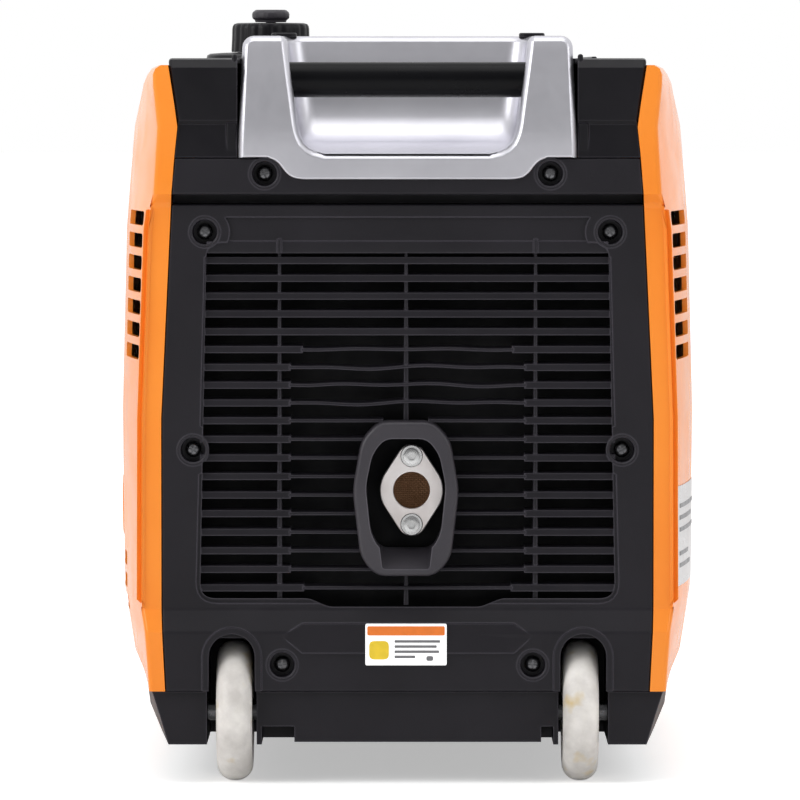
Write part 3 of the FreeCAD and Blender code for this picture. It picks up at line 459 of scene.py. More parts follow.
def metal(name, dark, light, rough, scratch=(1, 1, 1), grain=900.0, depth=0.15, metallic=1.0):
    """Worked metal: tone patches, directional scratches and a fine grain."""
    material, tree, shader, where = new_finish(name)
    shader.inputs["Metallic"].default_value = metallic
    tree.links.new(ramp(tree, noise(tree, where, 25, 4), dark, light), shader.inputs["Base Color"])
    streaks = noise(tree, where, 220, 4, 0.6, scratch)
    tree.links.new(ramp(tree, streaks, rough[0], rough[1], (0.3, 0.7)), shader.inputs["Roughness"])
    bump(tree, shader, noise(tree, where, grain, 3, 0.7, scratch), depth, 0.0001)
    return material


def orange_gloss():
    """Glossy orange moulding with a very slight ripple and a clear, hard surface."""
    material, tree, shader, where = new_finish("orange gloss")
    tone = ramp(tree, noise(tree, where, 9, 3), (0.92, 0.255, 0.026, 1), (0.96, 0.295, 0.036, 1))
    tree.links.new(tone, shader.inputs["Base Color"])
    tree.links.new(ramp(tree, noise(tree, where, 45, 4), 0.17, 0.26), shader.inputs["Roughness"])
    shader.inputs["Specular IOR Level"].default_value = 0.4
    shader.inputs["Specular Tint"].default_value = (1.0, 0.66, 0.50, 1.0)
    shader.inputs["Coat Weight"].default_value = 0.08
    shader.inputs["Coat Roughness"].default_value = 0.06
    bump(tree, shader, noise(tree, where, 260, 2, 0.5), 0.06, 0.0003)
    return material


def wheel_polyurethane():
    """Cloudy grey polyurethane, dulled and stained yellow where it runs on the ground."""
    material, tree, shader, where = new_finish("wheel polyurethane")
    cloudy = ramp(tree, noise(tree, where, 35, 5, 0.6), (0.60, 0.57, 0.54, 1), (0.88, 0.85, 0.81, 1))
    stain = ramp(tree, noise(tree, where, 48, 3, 0.5), 0.0, 0.8, (0.60, 0.74))
    mix = tree.nodes.new("ShaderNodeMix")
    mix.data_type = "RGBA"
    tree.links.new(stain, mix.inputs["Factor"])
    tree.links.new(cloudy, mix.inputs["A"])
    mix.inputs["B"].default_value = (0.62, 0.45, 0.16, 1)
    tree.links.new(mix.outputs["Result"], shader.inputs["Base Color"])
    tree.links.new(ramp(tree, noise(tree, where, 120, 4), 0.28, 0.5), shader.inputs["Roughness"])
    shader.inputs["Subsurface Weight"].default_value = 0.15
    shader.inputs["Subsurface Radius"].default_value = (0.004, 0.004, 0.003)
    bump(tree, shader, noise(tree, where, 500, 4, 0.6), 0.25, 0.0003)
    return material


def label_film():
    """White film with a faint wave and a soft sheen; it also glows faintly, painted light that brightens it
    though it is no lamp.
    """
    material, tree, shader, where = new_finish("label film")
    tree.links.new(ramp(tree, noise(tree, where, 30, 3), 0.93, 0.97), shader.inputs["Base Color"])
    tree.links.new(ramp(tree, noise(tree, where, 80, 3), 0.25, 0.4), shader.inputs["Roughness"])
    # Painted light: a faint white glow on the label, to lift its white.
    shader.inputs["Emission Color"].default_value = (1, 1, 1, 1)
    shader.inputs["Emission Strength"].default_value = 0.35
    bump(tree, shader, noise(tree, where, 120, 2), 0.08, 0.0003)
    return material


def printed(name, colour):
    """Ink on film."""
    material, tree, shader, where = new_finish(name)
    dark = tuple(c * 0.92 for c in colour) + (1.0,)
    tree.links.new(ramp(tree, noise(tree, where, 200, 3), dark, colour + (1.0,)), shader.inputs["Base Color"])
    tree.links.new(ramp(tree, noise(tree, where, 90, 2), 0.3, 0.42), shader.inputs["Roughness"])
    return material


FINISHES = {
    "orange": orange_gloss(),
    # In black, satin and bezel the last colour is the painted edge highlight along the edges.
    "black": moulded(
        "black moulding", (0.0085, 0.0075, 0.0105, 1), (0.0115, 0.0102, 0.0140, 1), (0.40, 0.50),
        gloss=0.26, edge_highlight=(0.060, 0.055, 0.068, 1),
    ),
    "satin": moulded(
        "satin black", (0.0050, 0.0046, 0.0065, 1), (0.0075, 0.0068, 0.0092, 1), (0.34, 0.42),
        2400, 0.2, 0.22, (0.034, 0.031, 0.039, 1),
    ),
    "bezel": moulded(
        "bezel black", (0.030, 0.027, 0.034, 1), (0.044, 0.040, 0.048, 1), (0.40, 0.52),
        1500, 0.4, 0.45, (0.10, 0.093, 0.11, 1),
    ),
    "gloss black": moulded(
        "gloss black", (0.0022, 0.0022, 0.0030, 1), (0.0035, 0.0035, 0.0045, 1), (0.26, 0.34),
        600, 0.05, 0.12,
    ),
    "rubber": moulded(
        "rubber", (0.016, 0.016, 0.016, 1), (0.026, 0.026, 0.026, 1), (0.7, 0.85), 900, 0.5, 0.3
    ),
    "silver": metal(
        "silver casting", (0.60, 0.595, 0.64, 1), (0.65, 0.645, 0.69, 1), (0.38, 0.42),
        grain=2600.0, depth=0.2,
    ),
    "steel": metal("bright steel", (0.55, 0.55, 0.55, 1), (0.72, 0.72, 0.72, 1), (0.16, 0.34)),
    "dark steel": metal("blackened steel", (0.10, 0.10, 0.105, 1), (0.20, 0.20, 0.21, 1), (0.22, 0.38)),
    "flange": metal(
        "ground flange", (0.74, 0.68, 0.66, 1), (0.90, 0.86, 0.85, 1), (0.32, 0.52), (1, 1, 0.3), 500, 0.4
    ),
    "mesh": metal("burnt mesh", (0.10, 0.045, 0.02, 1), (0.24, 0.13, 0.07, 1), (0.45, 0.65)),
    "casting": metal(
        "engine casting", (0.30, 0.30, 0.31, 1), (0.46, 0.46, 0.47, 1), (0.45, 0.65), (1, 1, 1), 400, 0.5
    ),
    "heat": metal("heat-toned steel", (0.10, 0.085, 0.07, 1), (0.24, 0.21, 0.18, 1), (0.4, 0.6)),
    "wheel": wheel_polyurethane(),
    "label": label_film(),
    "orange ink": printed("orange ink", (0.85, 0.20, 0.02)),
    "yellow ink": printed("yellow ink", (0.88, 0.62, 0.03)),
    "grey ink": printed("grey ink", (0.18, 0.18, 0.19)),
    "white ink": printed("white ink", (0.80, 0.80, 0.80)),
    "baffle": moulded(
        "baffle", (0.006, 0.006, 0.007, 1), (0.010, 0.010, 0.011, 1), (0.7, 0.9), 600, 0.3, 0.2
    ),
    "silver film": metal(
        "silver film", (0.62, 0.61, 0.61, 1), (0.72, 0.71, 0.71, 1), (0.25, 0.4), metallic=0.6
    ),
    "red": moulded("red moulding", (0.42, 0.012, 0.008, 1), (0.52, 0.02, 0.012, 1), (0.22, 0.34), 900, 0.1),
    "rope": moulded(
        "braided rope", (0.45, 0.44, 0.40, 1), (0.66, 0.65, 0.60, 1), (0.7, 0.9), 700, 0.9, 0.2
    ),
    "window": moulded(
        "smoked window", (0.008, 0.010, 0.012, 1), (0.012, 0.014, 0.017, 1), (0.04, 0.08), 200, 0.02
    ),
}


# Side panels


def swelling(y):
    """How far the sides have swelled at y, from 0 at the ends to 1 along the middle."""
    share = min((END_FACE - abs(y)) / TAPER, 1.0)
    return 1.0 - (1.0 - share) ** 2


def half_width(y, z):
    """Half of the body's width over the side panels."""
    ends = between(list(zip(HEIGHTS, END_WIDTHS)), z)
    middle = between(list(zip(HEIGHTS, MIDDLE_WIDTHS)), z)
    return ends + (middle - ends) * swelling(y)


def set_back(z):
    """How far the end face lies back at height z."""
    steps = (
        (0.0, 0.0), (LEDGE_LOW, 0.0), (LEDGE_TOP, STEP), (PANEL_TOP, STEP), (BAND_LOW, 0.0), (500.0, 0.0),
    )
    return between(steps, z)


OUTLET_X = 2.4
OUTLET_Z = 171.0

SIDE_LEVELS = (
    54.5, 63.0, 72.0, 80.0, 89.0, 102.0, 108.0, 130.0, 155.0, 183.0, 213.0, 240.0, 268.0, 296.0, 323.0,
    338.0, 344.0, 352.0, 366.0, 383.0, 396.0, 408.0, 413.5, 417.0, 419.0,
)
SIDE_STATIONS = (282.0, 274.0, 262.0, 248.0, 230.0, 208.0, 184.0, 160.0, 138.0, 110.0, 80.0, 50.0, 25.0)


def side_point(column, columns, z, top_share):
    """A place on the right panel, in mm: column 0 is the inner edge of one end strip."""
    inner = between(SEAM, z)
    end = END_FACE - set_back(z)
    stations = [-s for s in SIDE_STATIONS] + [0.0] + list(reversed(SIDE_STATIONS))
    last = columns - 1
    sign = -1 if column < columns / 2 else 1
    steps_in = min(column, last - column)
    if steps_in == 0:
        x, y = inner, sign * end
    elif steps_in == 1:
        x, y = half_width(end, z), sign * end
    else:
        y = stations[column - 2]
        x = half_width(y, z)
    seam_top = between(SEAM, BODY_TOP)
    if top_share < 1.0:
        x = seam_top + (x - seam_top) * top_share
    return x, y, z


def side_wall():
    """The right side panel's shell, rounded over at the top, without openings."""
    columns = 2 * len(SIDE_STATIONS) + 5
    levels = [(z, 1.0) for z in SIDE_LEVELS] + [(BODY_TOP, 0.55), (BODY_TOP, 0.0)]
    wall = netting([[side_point(i, columns, z, share) for i in range(columns)] for z, share in levels])
    face_out(wall)
    edit(wall)
    bpy.ops.mesh.select_all(action="SELECT")
    bpy.ops.mesh.dissolve_degenerate(threshold=0.0001)
    leave()
    if sum(f.normal.x * f.area for f in wall.data.polygons) < 0:
        wall.data.flip_normals()
    round_edges(wall, 2.4, 4, lambda m: abs(m.y) > 279 and m.x > 142.5 and m.z < 414, 30, clamp=False)
    thick = wall.modifiers.new("wall", "SOLIDIFY")
    thick.thickness = 3.0 * MM
    thick.offset = -1.0
    pick(wall)
    bpy.ops.object.modifier_apply(modifier=thick.name)
    return wall


def vent_tools(z_first, count, y0, y1):
    """Cutters for a stack of level slots through the right side."""
    tools = []
    for index in range(count):
        z = z_first + index * 13.05
        outline = rectangle(y0, y1, z, z + 8.4, 3.0, 4)
        tools.append(slab(outline, "x", 135, 190))
    return tools


def side_panels():
    wall = side_wall()
    left = flipped(wall)
    right = wall
    y0, y1, z0, z1 = -20.0, 130.0, 110.0, 300.0
    doorway = slab(rectangle(y0, y1, z0, z1, 6.0, 5), "x", 150, 190)
    door_plug = slab(rectangle(y0 + 0.8, y1 - 0.8, z0 + 1.5, z1 - 0.8, 6.0, 5), "x", 150, 190)
    door = carve(copy_of(right), [door_plug], "INTERSECT")
    carve(right, [doorway] + vent_tools(247.0, 7, -266, -205))
    upper = [turned_over(tool) for tool in vent_tools(247.0, 7, -266, -205)]
    lower = [turned_over(tool) for tool in vent_tools(96.5, 3, -212, -150)]
    pocket = slab(rectangle(-66, 46, 136.5, 189, 12.0, 6), "x", -190, -140)
    carve(left, upper + lower + [pocket])
    for panel in (left, right, door):
        round_edges(panel, 0.9, 3, sharp=24)
    return left, right, door


def recoil_surround():
    """The moulded cup behind the recoil handle, with a raised rim round the grip."""
    mouth = rectangle(-66, 46, 136.5, 189, 12.0, 6)
    cup = slab(rectangle(-69, 49, 133.5, 192, 14.0, 6), "x", -169.5, -137)
    space = slab(mouth, "x", -175, -140)
    carve(cup, [space, rod("x", (-145, ROPE_Y, ROPE_Z), 12, 3.5, 0.1, 24)])
    rim = slab(rectangle(-72, 52, 130.5, 172, 15.0, 6), "x", -174.5, -165)
    carve(rim, [slab(mouth, "x", -180, -150)])
    round_edges(cup, 0.8, 2)
    round_edges(rim, 1.6, 3)
    return cup, rim


# End covers


COVER_CUT = (-300, -262)  # a cutter's reach through an end cover


def cover_plate():
    """The plain moulding that both end covers start from, at the exhaust end."""
    face = END_FACE
    back = face - 3.0
    groove = face - 24.0
    profile = [
        (-face, BODY_BOTTOM), (-face, LEDGE_LOW), (-face + STEP, LEDGE_TOP), (-face + STEP, 213.0),
        (-face + STEP, PANEL_TOP), (-groove, PANEL_TOP + 0.6), (-groove, BAND_LOW - 0.4), (-face, BAND_LOW),
        (-face, BAND_TOP), (-back, BAND_TOP), (-back, BAND_LOW + 2.8), (-groove + 3.0, BAND_LOW + 2.8),
        (-groove + 3.0, PANEL_TOP - 2.6), (-back + STEP, PANEL_TOP - 2.6), (-back + STEP, 213.0),
        (-back + STEP, LEDGE_TOP - 1.5), (-back, LEDGE_LOW - 1.5), (-back, BODY_BOTTOM),
    ]
    plate = slab(profile, "x", -1.0, 1.0)
    for vertex in plate.data.vertices:
        side = math.copysign(1.0, vertex.co.x)
        vertex.co.x = side * (between(SEAM, vertex.co.z / MM) - 0.4) * MM
    return round_edges(plate, 1.2, 3, lambda m: m.y < -279 or abs(m.z - PANEL_TOP) < 1, 22)


def screw_seat(z):
    """The face that a cover screw's cup opens in."""
    return -END_FACE + (STEP if LEDGE_TOP < z < PANEL_TOP else 0.0)


def screw_cup(x, z):
    """A round cup for a screw, with a softened rim."""
    profile = [
        (0.0, 9.0), (6.6, 9.0), (7.0, 8.6), (7.0, 1.4), (7.35, 0.45), (8.1, -0.1), (9.0, -0.15), (9.4, 0.1),
        (9.4, 16.0), (0.0, 16.0),
    ]
    return turned(profile, "y", (x, screw_seat(z), z), 48)


def cover_screw(x, z):
    """A pan-head screw with a cross recess."""
    seat = screw_seat(z) + 8.0
    head = turned(
        [(0.0, -3.1), (2.6, -3.0), (3.9, -2.3), (4.6, -1.1), (4.6, 1.4), (0.0, 1.4)], "y", (x, seat, z), 32
    )
    wings = ((2.7, 0.55), (0.55, 2.7))
    carve(head, [slab(rectangle(x - a, x + a, z - b, z + b), "y", seat - 4, seat - 1.4) for a, b in wings])
    for vertex in head.data.vertices:
        turn = Matrix.Rotation(math.radians(23 + x), 4, "Y")
        centre = Vector((x, seat, z)) * MM
        vertex.co = centre + turn @ (vertex.co - centre)
    return head


def arch_outline(grow):
    """The round-topped opening over a wheel."""
    centre = (89.0 + 115.7) / 2
    half = (115.7 - 89.0) / 2 + grow
    spring = LEDGE_LOW - 1 - half + grow
    return [(centre + half, 40.0)] + arc(centre, spring, half, 0, 180, 16) + [(centre - half, 40.0)]


def slat_heights():
    """Middle of each slat; the upper ones lie slightly closer together."""
    heights = [114.2]
    for index in range(18):
        heights.append(heights[-1] + (10.85 if index < 9 else 10.38))
    return heights


def cut_edge(z):
    """Half-width of the thinned area round the exhaust at height z, or 0 outside it."""
    low, top, corner, half = 105.0, 262.0, 17.0, 68.0
    if not low < z < top:
        return 0.0
    return min(half, half - corner + (z - low), half - corner + (top - z) * 1.15)


def slat_end(z):
    """Half-width of the louvred window at height z."""
    return 121.0 - 4.0 * max(0.0, (z - 213.0)) / 100.0


def slat(x0, x1, z, height, depth=11.0, lean=0.7):
    """One louvre: its face leans back towards the top, and it climbs inwards."""
    face = -END_FACE + STEP + 2.5
    section = [
        (face, z - height / 2), (face + lean, z + height / 2), (face + depth, z + height / 2 + 1.2),
        (face + depth, z - height / 2 + 1.8),
    ]
    return slab(section, "x", x0, x1)


def louvres():
    """The full slats in pieces, and the thinner ones round the exhaust apart from them."""
    pieces = []
    thin = []
    for z in slat_heights():
        edge = cut_edge(z)
        end = slat_end(z)
        beside = bezel_edge(z)
        if not edge:
            pieces.append(slat(-end, end, z, 4.2))
            continue
        pieces += [slat(-end, -edge, z, 4.2), slat(edge, end, z, 4.2)]
        if beside:
            pieces.append(slat(-edge - 1, BEZEL_X - beside, z, 1.9, 9.0, 0.3))
            pieces.append(slat(BEZEL_X + beside, edge + 1, z, 1.9, 9.0, 0.3))
        else:
            thin.append(slat(-edge - 1, edge + 1, z, 1.9, 9.0, 0.3))
    for obj in pieces:
        round_edges(obj, 0.45, 2)
    return pieces, thin


def wave_thin(thin):
    """The thin upper slats have warped a little with the exhaust's heat."""
    rng = random.Random(7)
    for obj in thin:
        edit(obj)
        bpy.ops.mesh.select_all(action="DESELECT")
        shape = bmesh.from_edit_mesh(obj.data)
        for edge in shape.edges:
            if abs(edge.verts[0].co.x - edge.verts[1].co.x) > 0.01:
                edge.select_set(True)
        bmesh.update_edit_mesh(obj.data)
        bpy.ops.mesh.subdivide(number_cuts=23)
        leave()
        z = sum(v.co.z for v in obj.data.vertices) / len(obj.data.vertices) / MM
        amount = 1.3 * max(0.0, min(1.0, (z - 195.0) / 20.0)) * max(0.0, min(1.0, (262.0 - z) / 15.0))
        phase = rng.uniform(0, 6.28)
        for vertex in obj.data.vertices:
            x = vertex.co.x / MM
            fade = max(0.0, 1.0 - (abs(x) / 66.0) ** 4)
            vertex.co.z += amount * fade * math.sin(x / 13.0 + phase) * math.cos(x / 31.0 + phase / 2) * MM
        round_edges(obj, 0.25, 1)
    return thin


BEZEL_X = -1.0
BEZEL_SIDE = ((122.0, 17.5), (133.0, 26.5), (172.0, 31.0), (201.0, 26.0), (212.0, 16.0))
MOUTH_SIDE = ((137.0, 15.0), (147.0, 20.5), (174.0, 23.4), (193.0, 19.5), (202.0, 12.5))


def tall_outline(sides, grow=0.0):
    """An upright outline, the same left and right, from (height, half-width) pairs."""
    right = [(BEZEL_X + half + grow, z) for z, half in sides]
    left = [(BEZEL_X - half - grow, z) for z, half in reversed(sides)]
    return right + left


def bezel_edge(z):
    """Where the slats meet the bezel's wall, as a half-width, or 0 above and below it."""
    if not 121.0 < z < 213.0:
        return 0.0
    return between(BEZEL_SIDE, max(z, 122.0)) - 3.0


def rear_cover():
    plate = cover_plate()
    low_edge = [(-121.0, 108.2), (-57.8, 108.2), (-45.6, 103.4), (42.3, 103.4), (55.2, 108.2), (121.0, 108.2)]
    corners = low_edge + [(117.0, WINDOW_TOP), (-117.0, WINDOW_TOP)]
    window = rounded_outline(corners, [9, 2, 2, 2, 2, 9, 9, 9], 6)
    tools = [field_tool(), slab(window, "y", *COVER_CUT)]
    tools += both_sides(slab(arch_outline(0.0), "y", *COVER_CUT))
    for x, z in SCREWS:
        tools += both_sides(rod("y", (x, -300, z), 40, 8.0, 0.1, 48))
    carve(plate, tools)
    round_edges(plate, 0.7, 2, lambda m: -281.5 < m.y < -280.5 and 104 < m.z < 334, 40)
    parts = [plate]
    for x, z in SCREWS:
        parts += both_sides(screw_cup(x, z))
    lip = slab(arch_outline(4.0), "y", -END_FACE - 1.5, -END_FACE + 2.0)
    carve(lip, [slab(arch_outline(0.0), "y", *COVER_CUT), block(60, 150, -300, -260, 20, BODY_BOTTOM)])
    round_edges(lip, 0.8, 2)
    parts += both_sides(lip)
    wide, thin = louvres()
    parts += wide + wave_thin(thin)
    parts += [window_rib(x, 104, 318) for x in (-74.6, 74.6)]
    parts += [window_rib(-0.8, 104, 123), window_rib(-0.8, 211, 318)]
    # The stepped strip between the frame and the first slat
    parts.append(block(-117, 117, -280.0, -277, 309.5, 316.6, 0.8, 2))
    parts += [block(x - 1.3, x + 1.3, -281.0, -277, 309.5, 318, 0.4, 1) for x in (-74.6, 74.6)]
    parts.append(lower_band())
    return join(parts)


def field_tool():
    """The shallow field round the louvres; the screws' bosses are left standing in it."""
    outline = rounded_outline([(-123.5, 105.4), (123.5, 105.4), (117.5, 330.6), (-117.5, 330.6)], 13.0, 6)
    field = slab(outline, "y", -284.0, -279.2)
    bosses = []
    for x, z in SCREWS[1:3]:
        bosses += both_sides(rod("y", (x, -300, z), 40, 14.5, 0.1, 64))
    return carve(field, bosses)


def window_rib(x, low, high):
    return slab([(x - 1.5, low), (x + 1.5, low), (x + 0.9, high), (x - 0.9, high)], "y", -276.5, -264, 0.4, 1)


def lower_band():
    """The raised band with faceted ends on the lower panel."""
    outline = [(-73.4, 86.8), (-61.3, 76.9), (62.2, 76.9), (72.8, 86.8), (62.2, 94.3), (-61.3, 94.3)]
    band = slab(outline, "y", -290.2, -284.0)
    for vertex in band.data.vertices:
        if vertex.co.y < -289 * MM:
            if abs(vertex.co.x) > 70 * MM:
                vertex.co.y = -287.6 * MM
            elif vertex.co.z > 90 * MM:
                vertex.co.y = -288.6 * MM
    edit(band)
    bpy.ops.mesh.select_all(action="SELECT")
    bpy.ops.mesh.convex_hull()
    leave()
    merge_flat(band, 1.0)
    return round_edges(band, 0.7, 2, sharp=8)


def baffle():
    """The dark inner plate that closes the view behind the louvres."""
    plate = block(-133, 133, -258.5, -256.5, 92, 332, 0.5, 1)
    return carve(plate, [rod("y", (OUTLET_X, -262, OUTLET_Z), 8, 14.6, 0.1, 48)])


# Exhaust


def exhaust_bezel():
    """The tall surround of the exhaust, with a ramp at its foot."""
    outer = rounded_outline(tall_outline(BEZEL_SIDE), 6.0, 4)
    frame_ = slab(outer, "y", -291, -262)
    round_edges(frame_, 2.6, 4, lambda m: m.y < -290)
    mouth = slab(rounded_outline(tall_outline(MOUTH_SIDE), 5.0, 4), "y", -300, -250)
    ramp = slab([(-296, 123.5), (-296, 141), (-266, 141), (-266, 138.5)], "x", BEZEL_X - 15.5, BEZEL_X + 15.5)
    for vertex in ramp.data.vertices:
        if vertex.co.z < 125 * MM:
            vertex.co.x *= 0.86
    round_edges(ramp, 2.5, 3, lambda m: abs(m.x - BEZEL_X) > 12)
    carve(frame_, [mouth, ramp])
    return round_edges(frame_, 0.9, 2, lambda m: m.y < -275, 35)


def flange_outline():
    """The hull of a large round middle and two small round ears."""
    middle, ear, reach = 18.5, 8.6, 18.2
    tilt = math.degrees(math.asin((middle - ear) / reach))
    right = arc(OUTLET_X, OUTLET_Z, middle, -tilt, tilt, 8)
    top = arc(OUTLET_X, OUTLET_Z + reach, ear, tilt, 180 - tilt, 12)
    left = arc(OUTLET_X, OUTLET_Z, middle, 180 - tilt, 180 + tilt, 8)
    bottom = arc(OUTLET_X, OUTLET_Z - reach, ear, 180 + tilt, 360 - tilt, 12)
    return right + top + left + bottom


def outlet_flange():
    """The two-bolt plate and its short pipe."""
    plate = slab(flange_outline(), "y", -272, -268)
    carve(plate, [rod("y", (OUTLET_X, -280, OUTLET_Z), 20, 10.6, 0.1, 56)])
    round_edges(plate, 0.7, 3)
    wall = [(10.6, -268.6), (14.0, -268.6), (14.0, -248), (10.6, -248)]
    pipe = turned(wall, "y", (OUTLET_X, 0, OUTLET_Z), 56)
    return join([plate, pipe])


def tube(points, radius, sides=8):
    """A bar of round section along a list of points, closed at both ends."""
    places = [Vector(p) for p in points]
    turns = [math.tau * column / sides for column in range(sides)]
    ring = [Vector((math.cos(angle), math.sin(angle), 0)) * radius for angle in turns]
    rows = []
    for index, middle in enumerate(places):
        ahead = places[min(index + 1, len(places) - 1)] - places[max(index - 1, 0)]
        turn = ahead.to_track_quat("Z", "Y")
        rows.append([middle + turn @ around for around in ring])
    return stacked(rows)


def spark_mesh():
    """A woven disc of wires in front of a dark backing."""
    pitch = 1.25
    wires = []
    for index in range(-8, 9):
        offset = index * pitch
        reach = math.sqrt(max(10.9 ** 2 - offset ** 2, 1.0))
        for upright in (False, True):
            points = []
            count = max(4, int(reach * 4 / pitch))
            for step in range(count + 1):
                along = -reach + 2 * reach * step / count
                phase = math.pi * (along / pitch + index + (1 if upright else 0))
                depth = -270.6 + 0.28 * math.sin(phase)
                across = (offset, along) if upright else (along, offset)
                points.append((OUTLET_X + across[0], depth, OUTLET_Z + across[1]))
            wires.append(tube(points, 0.30, 5))
    profile = [(0.0, -269.9), (8.0, -269.85), (10.9, -269.7), (10.9, -269.0), (0.0, -269.0)]
    wires.append(turned(profile, "y", (OUTLET_X, 0, OUTLET_Z), 40))
    return join(wires)


def socket_screw(x, face, z, radius=4.7, height=5.0):
    """A cylinder-head screw with a hexagon socket and a knurled rim."""
    profile = [
        (0.0, 0.0), (radius - 0.7, 0.0), (radius - 0.15, 0.25), (radius, 0.8), (radius, height), (0.0, height),
    ]
    head = turned(profile, "y", (x, face, z), 72)
    for vertex in head.data.vertices:
        away = Vector((vertex.co.x / MM - x, 0, vertex.co.z / MM - z))
        if away.length > radius - 0.05 and vertex.co.y > (face + 0.7) * MM:
            notch = 0.14 * (1 + math.cos(36 * math.atan2(away.z, away.x)))
            vertex.co -= away.normalized() * notch * MM
    rim = radius + 1.8
    washer_profile = [
        (0.5, height - 1.0), (rim - 0.4, height - 1.0), (rim, height - 0.6), (rim, height), (0.5, height),
    ]
    socket = slab(hexagon(x, z, 2.5), "y", face - 1, face + 2.6)
    washer = turned(washer_profile, "y", (x, face, z), 40)
    return join([carve(head, [socket]), washer])


# Handles


HANDLE_LOW = 365.4
LIP = (
    (-61.3, 352.6), (61.3, 352.6), (67.0, 353.6), (71.2, 357.0), (73.4, 360.4), (76.6, 363.6), (81.5, 365.4),
    (88.0, 370.0), (-88.0, 370.0), (-81.5, 365.4), (-76.6, 363.6), (-73.4, 360.4), (-71.2, 357.0),
    (-67.0, 353.6),
)
SCOOP_HALF = (
    (367.5, 48.0), (369.0, 54.0), (371.0, 57.6), (374.0, 60.6), (378.0, 62.6), (384.0, 64.0), (401.0, 66.2),
    (423.0, 69.3), (446.0, 71.5),
)
SCOOP_BACK = (
    (367.5, -283.5), (374.0, -243.0), (377.0, -236.0), (382.0, -230.6), (389.0, -226.6), (398.0, -223.8),
    (410.0, -221.0), (436.0, -215.4), (446.0, -213.2),
)
SCOOP_LEVELS = (
    367.5, 368.2, 369.0, 371.0, 372.5, 374.0, 375.5, 377.0, 379.5, 382.0, 385.5, 389.0, 393.5, 398.0, 404.0,
    410.0, 428.0, 446.0,
)


def scoop_tool():
    """The hand space: level outlines stacked from its floor to its open top."""
    rows = []
    for z in SCOOP_LEVELS:
        half = between(SCOOP_HALF, z)
        back = between(SCOOP_BACK, z)
        corner = min(11.0, (back + 299.0) * 0.5)
        right = [(half, -300.0)] + arc(half - corner, back - corner, corner, 0, 90, 8)
        left = [(-x, y) for x, y in reversed(right)]
        rows.append([(x, y, z) for x, y in right + left])
    return stacked(rows)


def handle_frame():
    """The silver casting round the grip, with its lip over the upper band."""
    profile = [
        (-291, HANDLE_LOW), (-291, 372), (-290.8, 380), (-290.0, 389), (-288.5, 398), (-286.7, 408),
        (-284.7, 418), (-282.5, 428), (-280.5, 436), (-208, 436), (-208, HANDLE_LOW),
    ]
    casting = slab(profile, "x", -98.3, 98.3)
    for vertex in casting.data.vertices:
        rise = max(0.0, vertex.co.z / MM - 372.0) / 64.0
        vertex.co.x *= 1.0 - 0.026 * rise
    round_edges(casting, 6.5, 5, lambda m: abs(m.x) > 90 and m.z > 434)
    lip = slab(rounded_outline(LIP, 2.0, 2), "y", -291, -288.2)
    carve(casting, [lip], "UNION")
    carve(casting, [scoop_tool()])
    merge_flat(casting, 0.3)

    def broad(m):
        return m.z > 366.5 and (m.y < -275 or m.z > 434) and m.y < -210

    round_edges(casting, 3.6, 6, broad, 38, False, 0.38)
    return round_edges(casting, 1.3, 3, lambda m: m.z < 366.5 and m.y < -290.5, 38, False)


def grip_tube():
    """The grip bar, let into the casting at both ends."""
    return rod("x", (-78, -266, 410.5), 156, 10.3, 1.2, 64)


def oval_plug(x):
    """A domed oval plug on top of a handle frame."""
    outline = arc(x + 3.2, -215, 4.4, -90, 90, 12) + arc(x - 3.2, -215, 4.4, 90, 270, 12)
    plug = slab(outline, "z", 435.4, 438)
    return round_edges(plug, 1.0, 3, lambda m: m.z > 437)


# Top cover and fuel cap


def end_profile(y_sign):
    """The end of the top cover from below, round to its top: a band, a step and the block above."""
    points = [
        (-288.0, 365.4), (-285.8, 384.5), (-288.0, 387.0), (-287.0, 417.5), (-283.5, 422.2), (-279.0, 423.0),
    ]
    return [(y_sign * -y, z) for y, z in points]


def top_cover():
    """The black moulding between the side panels, with both handle bays, ribs and the filler pad."""
    profile = end_profile(-1) + list(reversed(end_profile(1)))
    cover = slab(profile, "x", -1.0, 1.0)
    for vertex in cover.data.vertices:
        side = math.copysign(1.0, vertex.co.x)
        vertex.co.x = side * (between(SEAM, vertex.co.z / MM) - 0.4) * MM
    round_edges(cover, 2.2, 3, lambda m: abs(m.x) > 130 and m.z > 400)
    tools = [block(-131, 131, -282, 282, 355, 419.8), block(-98.8, 98.8, -310, -207.6, 355, 450)]
    tools.append(block(-98.8, 98.8, 207.6, 310, 355, 450))
    carve(cover, tools)
    pad_profile = [
        (20.6, 420.5), (38.0, 420.5), (39.0, 423.0), (38.6, 425.0), (36.8, 426.0), (30.0, 426.5),
        (21.4, 426.8), (20.6, 426.4),
    ]
    pad = turned(pad_profile, "z", (FILLER_X, FILLER_Y, 0), 72)
    carve(cover, [rod("z", (FILLER_X, FILLER_Y, 400), 40, 30, 0.1, 72)])
    ribs = [block(x - 1.6, x + 1.6, -150, 160, 421.5, 424.2, 0.8, 2) for x in (-8, 16, 40, 64, 88, 112)]
    round_edges(cover, 1.0, 3, sharp=20)
    return join([cover, pad] + ribs + end_pillars())


def end_pillars():
    """Small uprights and narrow upright strips beside the handle frames."""
    pieces = []
    for x0, x1, z0, z1, face in ((99.2, 105.4, 366, 385.5, -287.6), (98.9, 102.0, 388, 425.4, -284.5)):
        for pillar in both_sides(block(x0, x1, face, face + 7, z0, z1, 1.4, 3)):
            pieces += [pillar, flipped(pillar, 1)]
    return pieces


FILLER_X = -83.0
FILLER_Y = -100.0


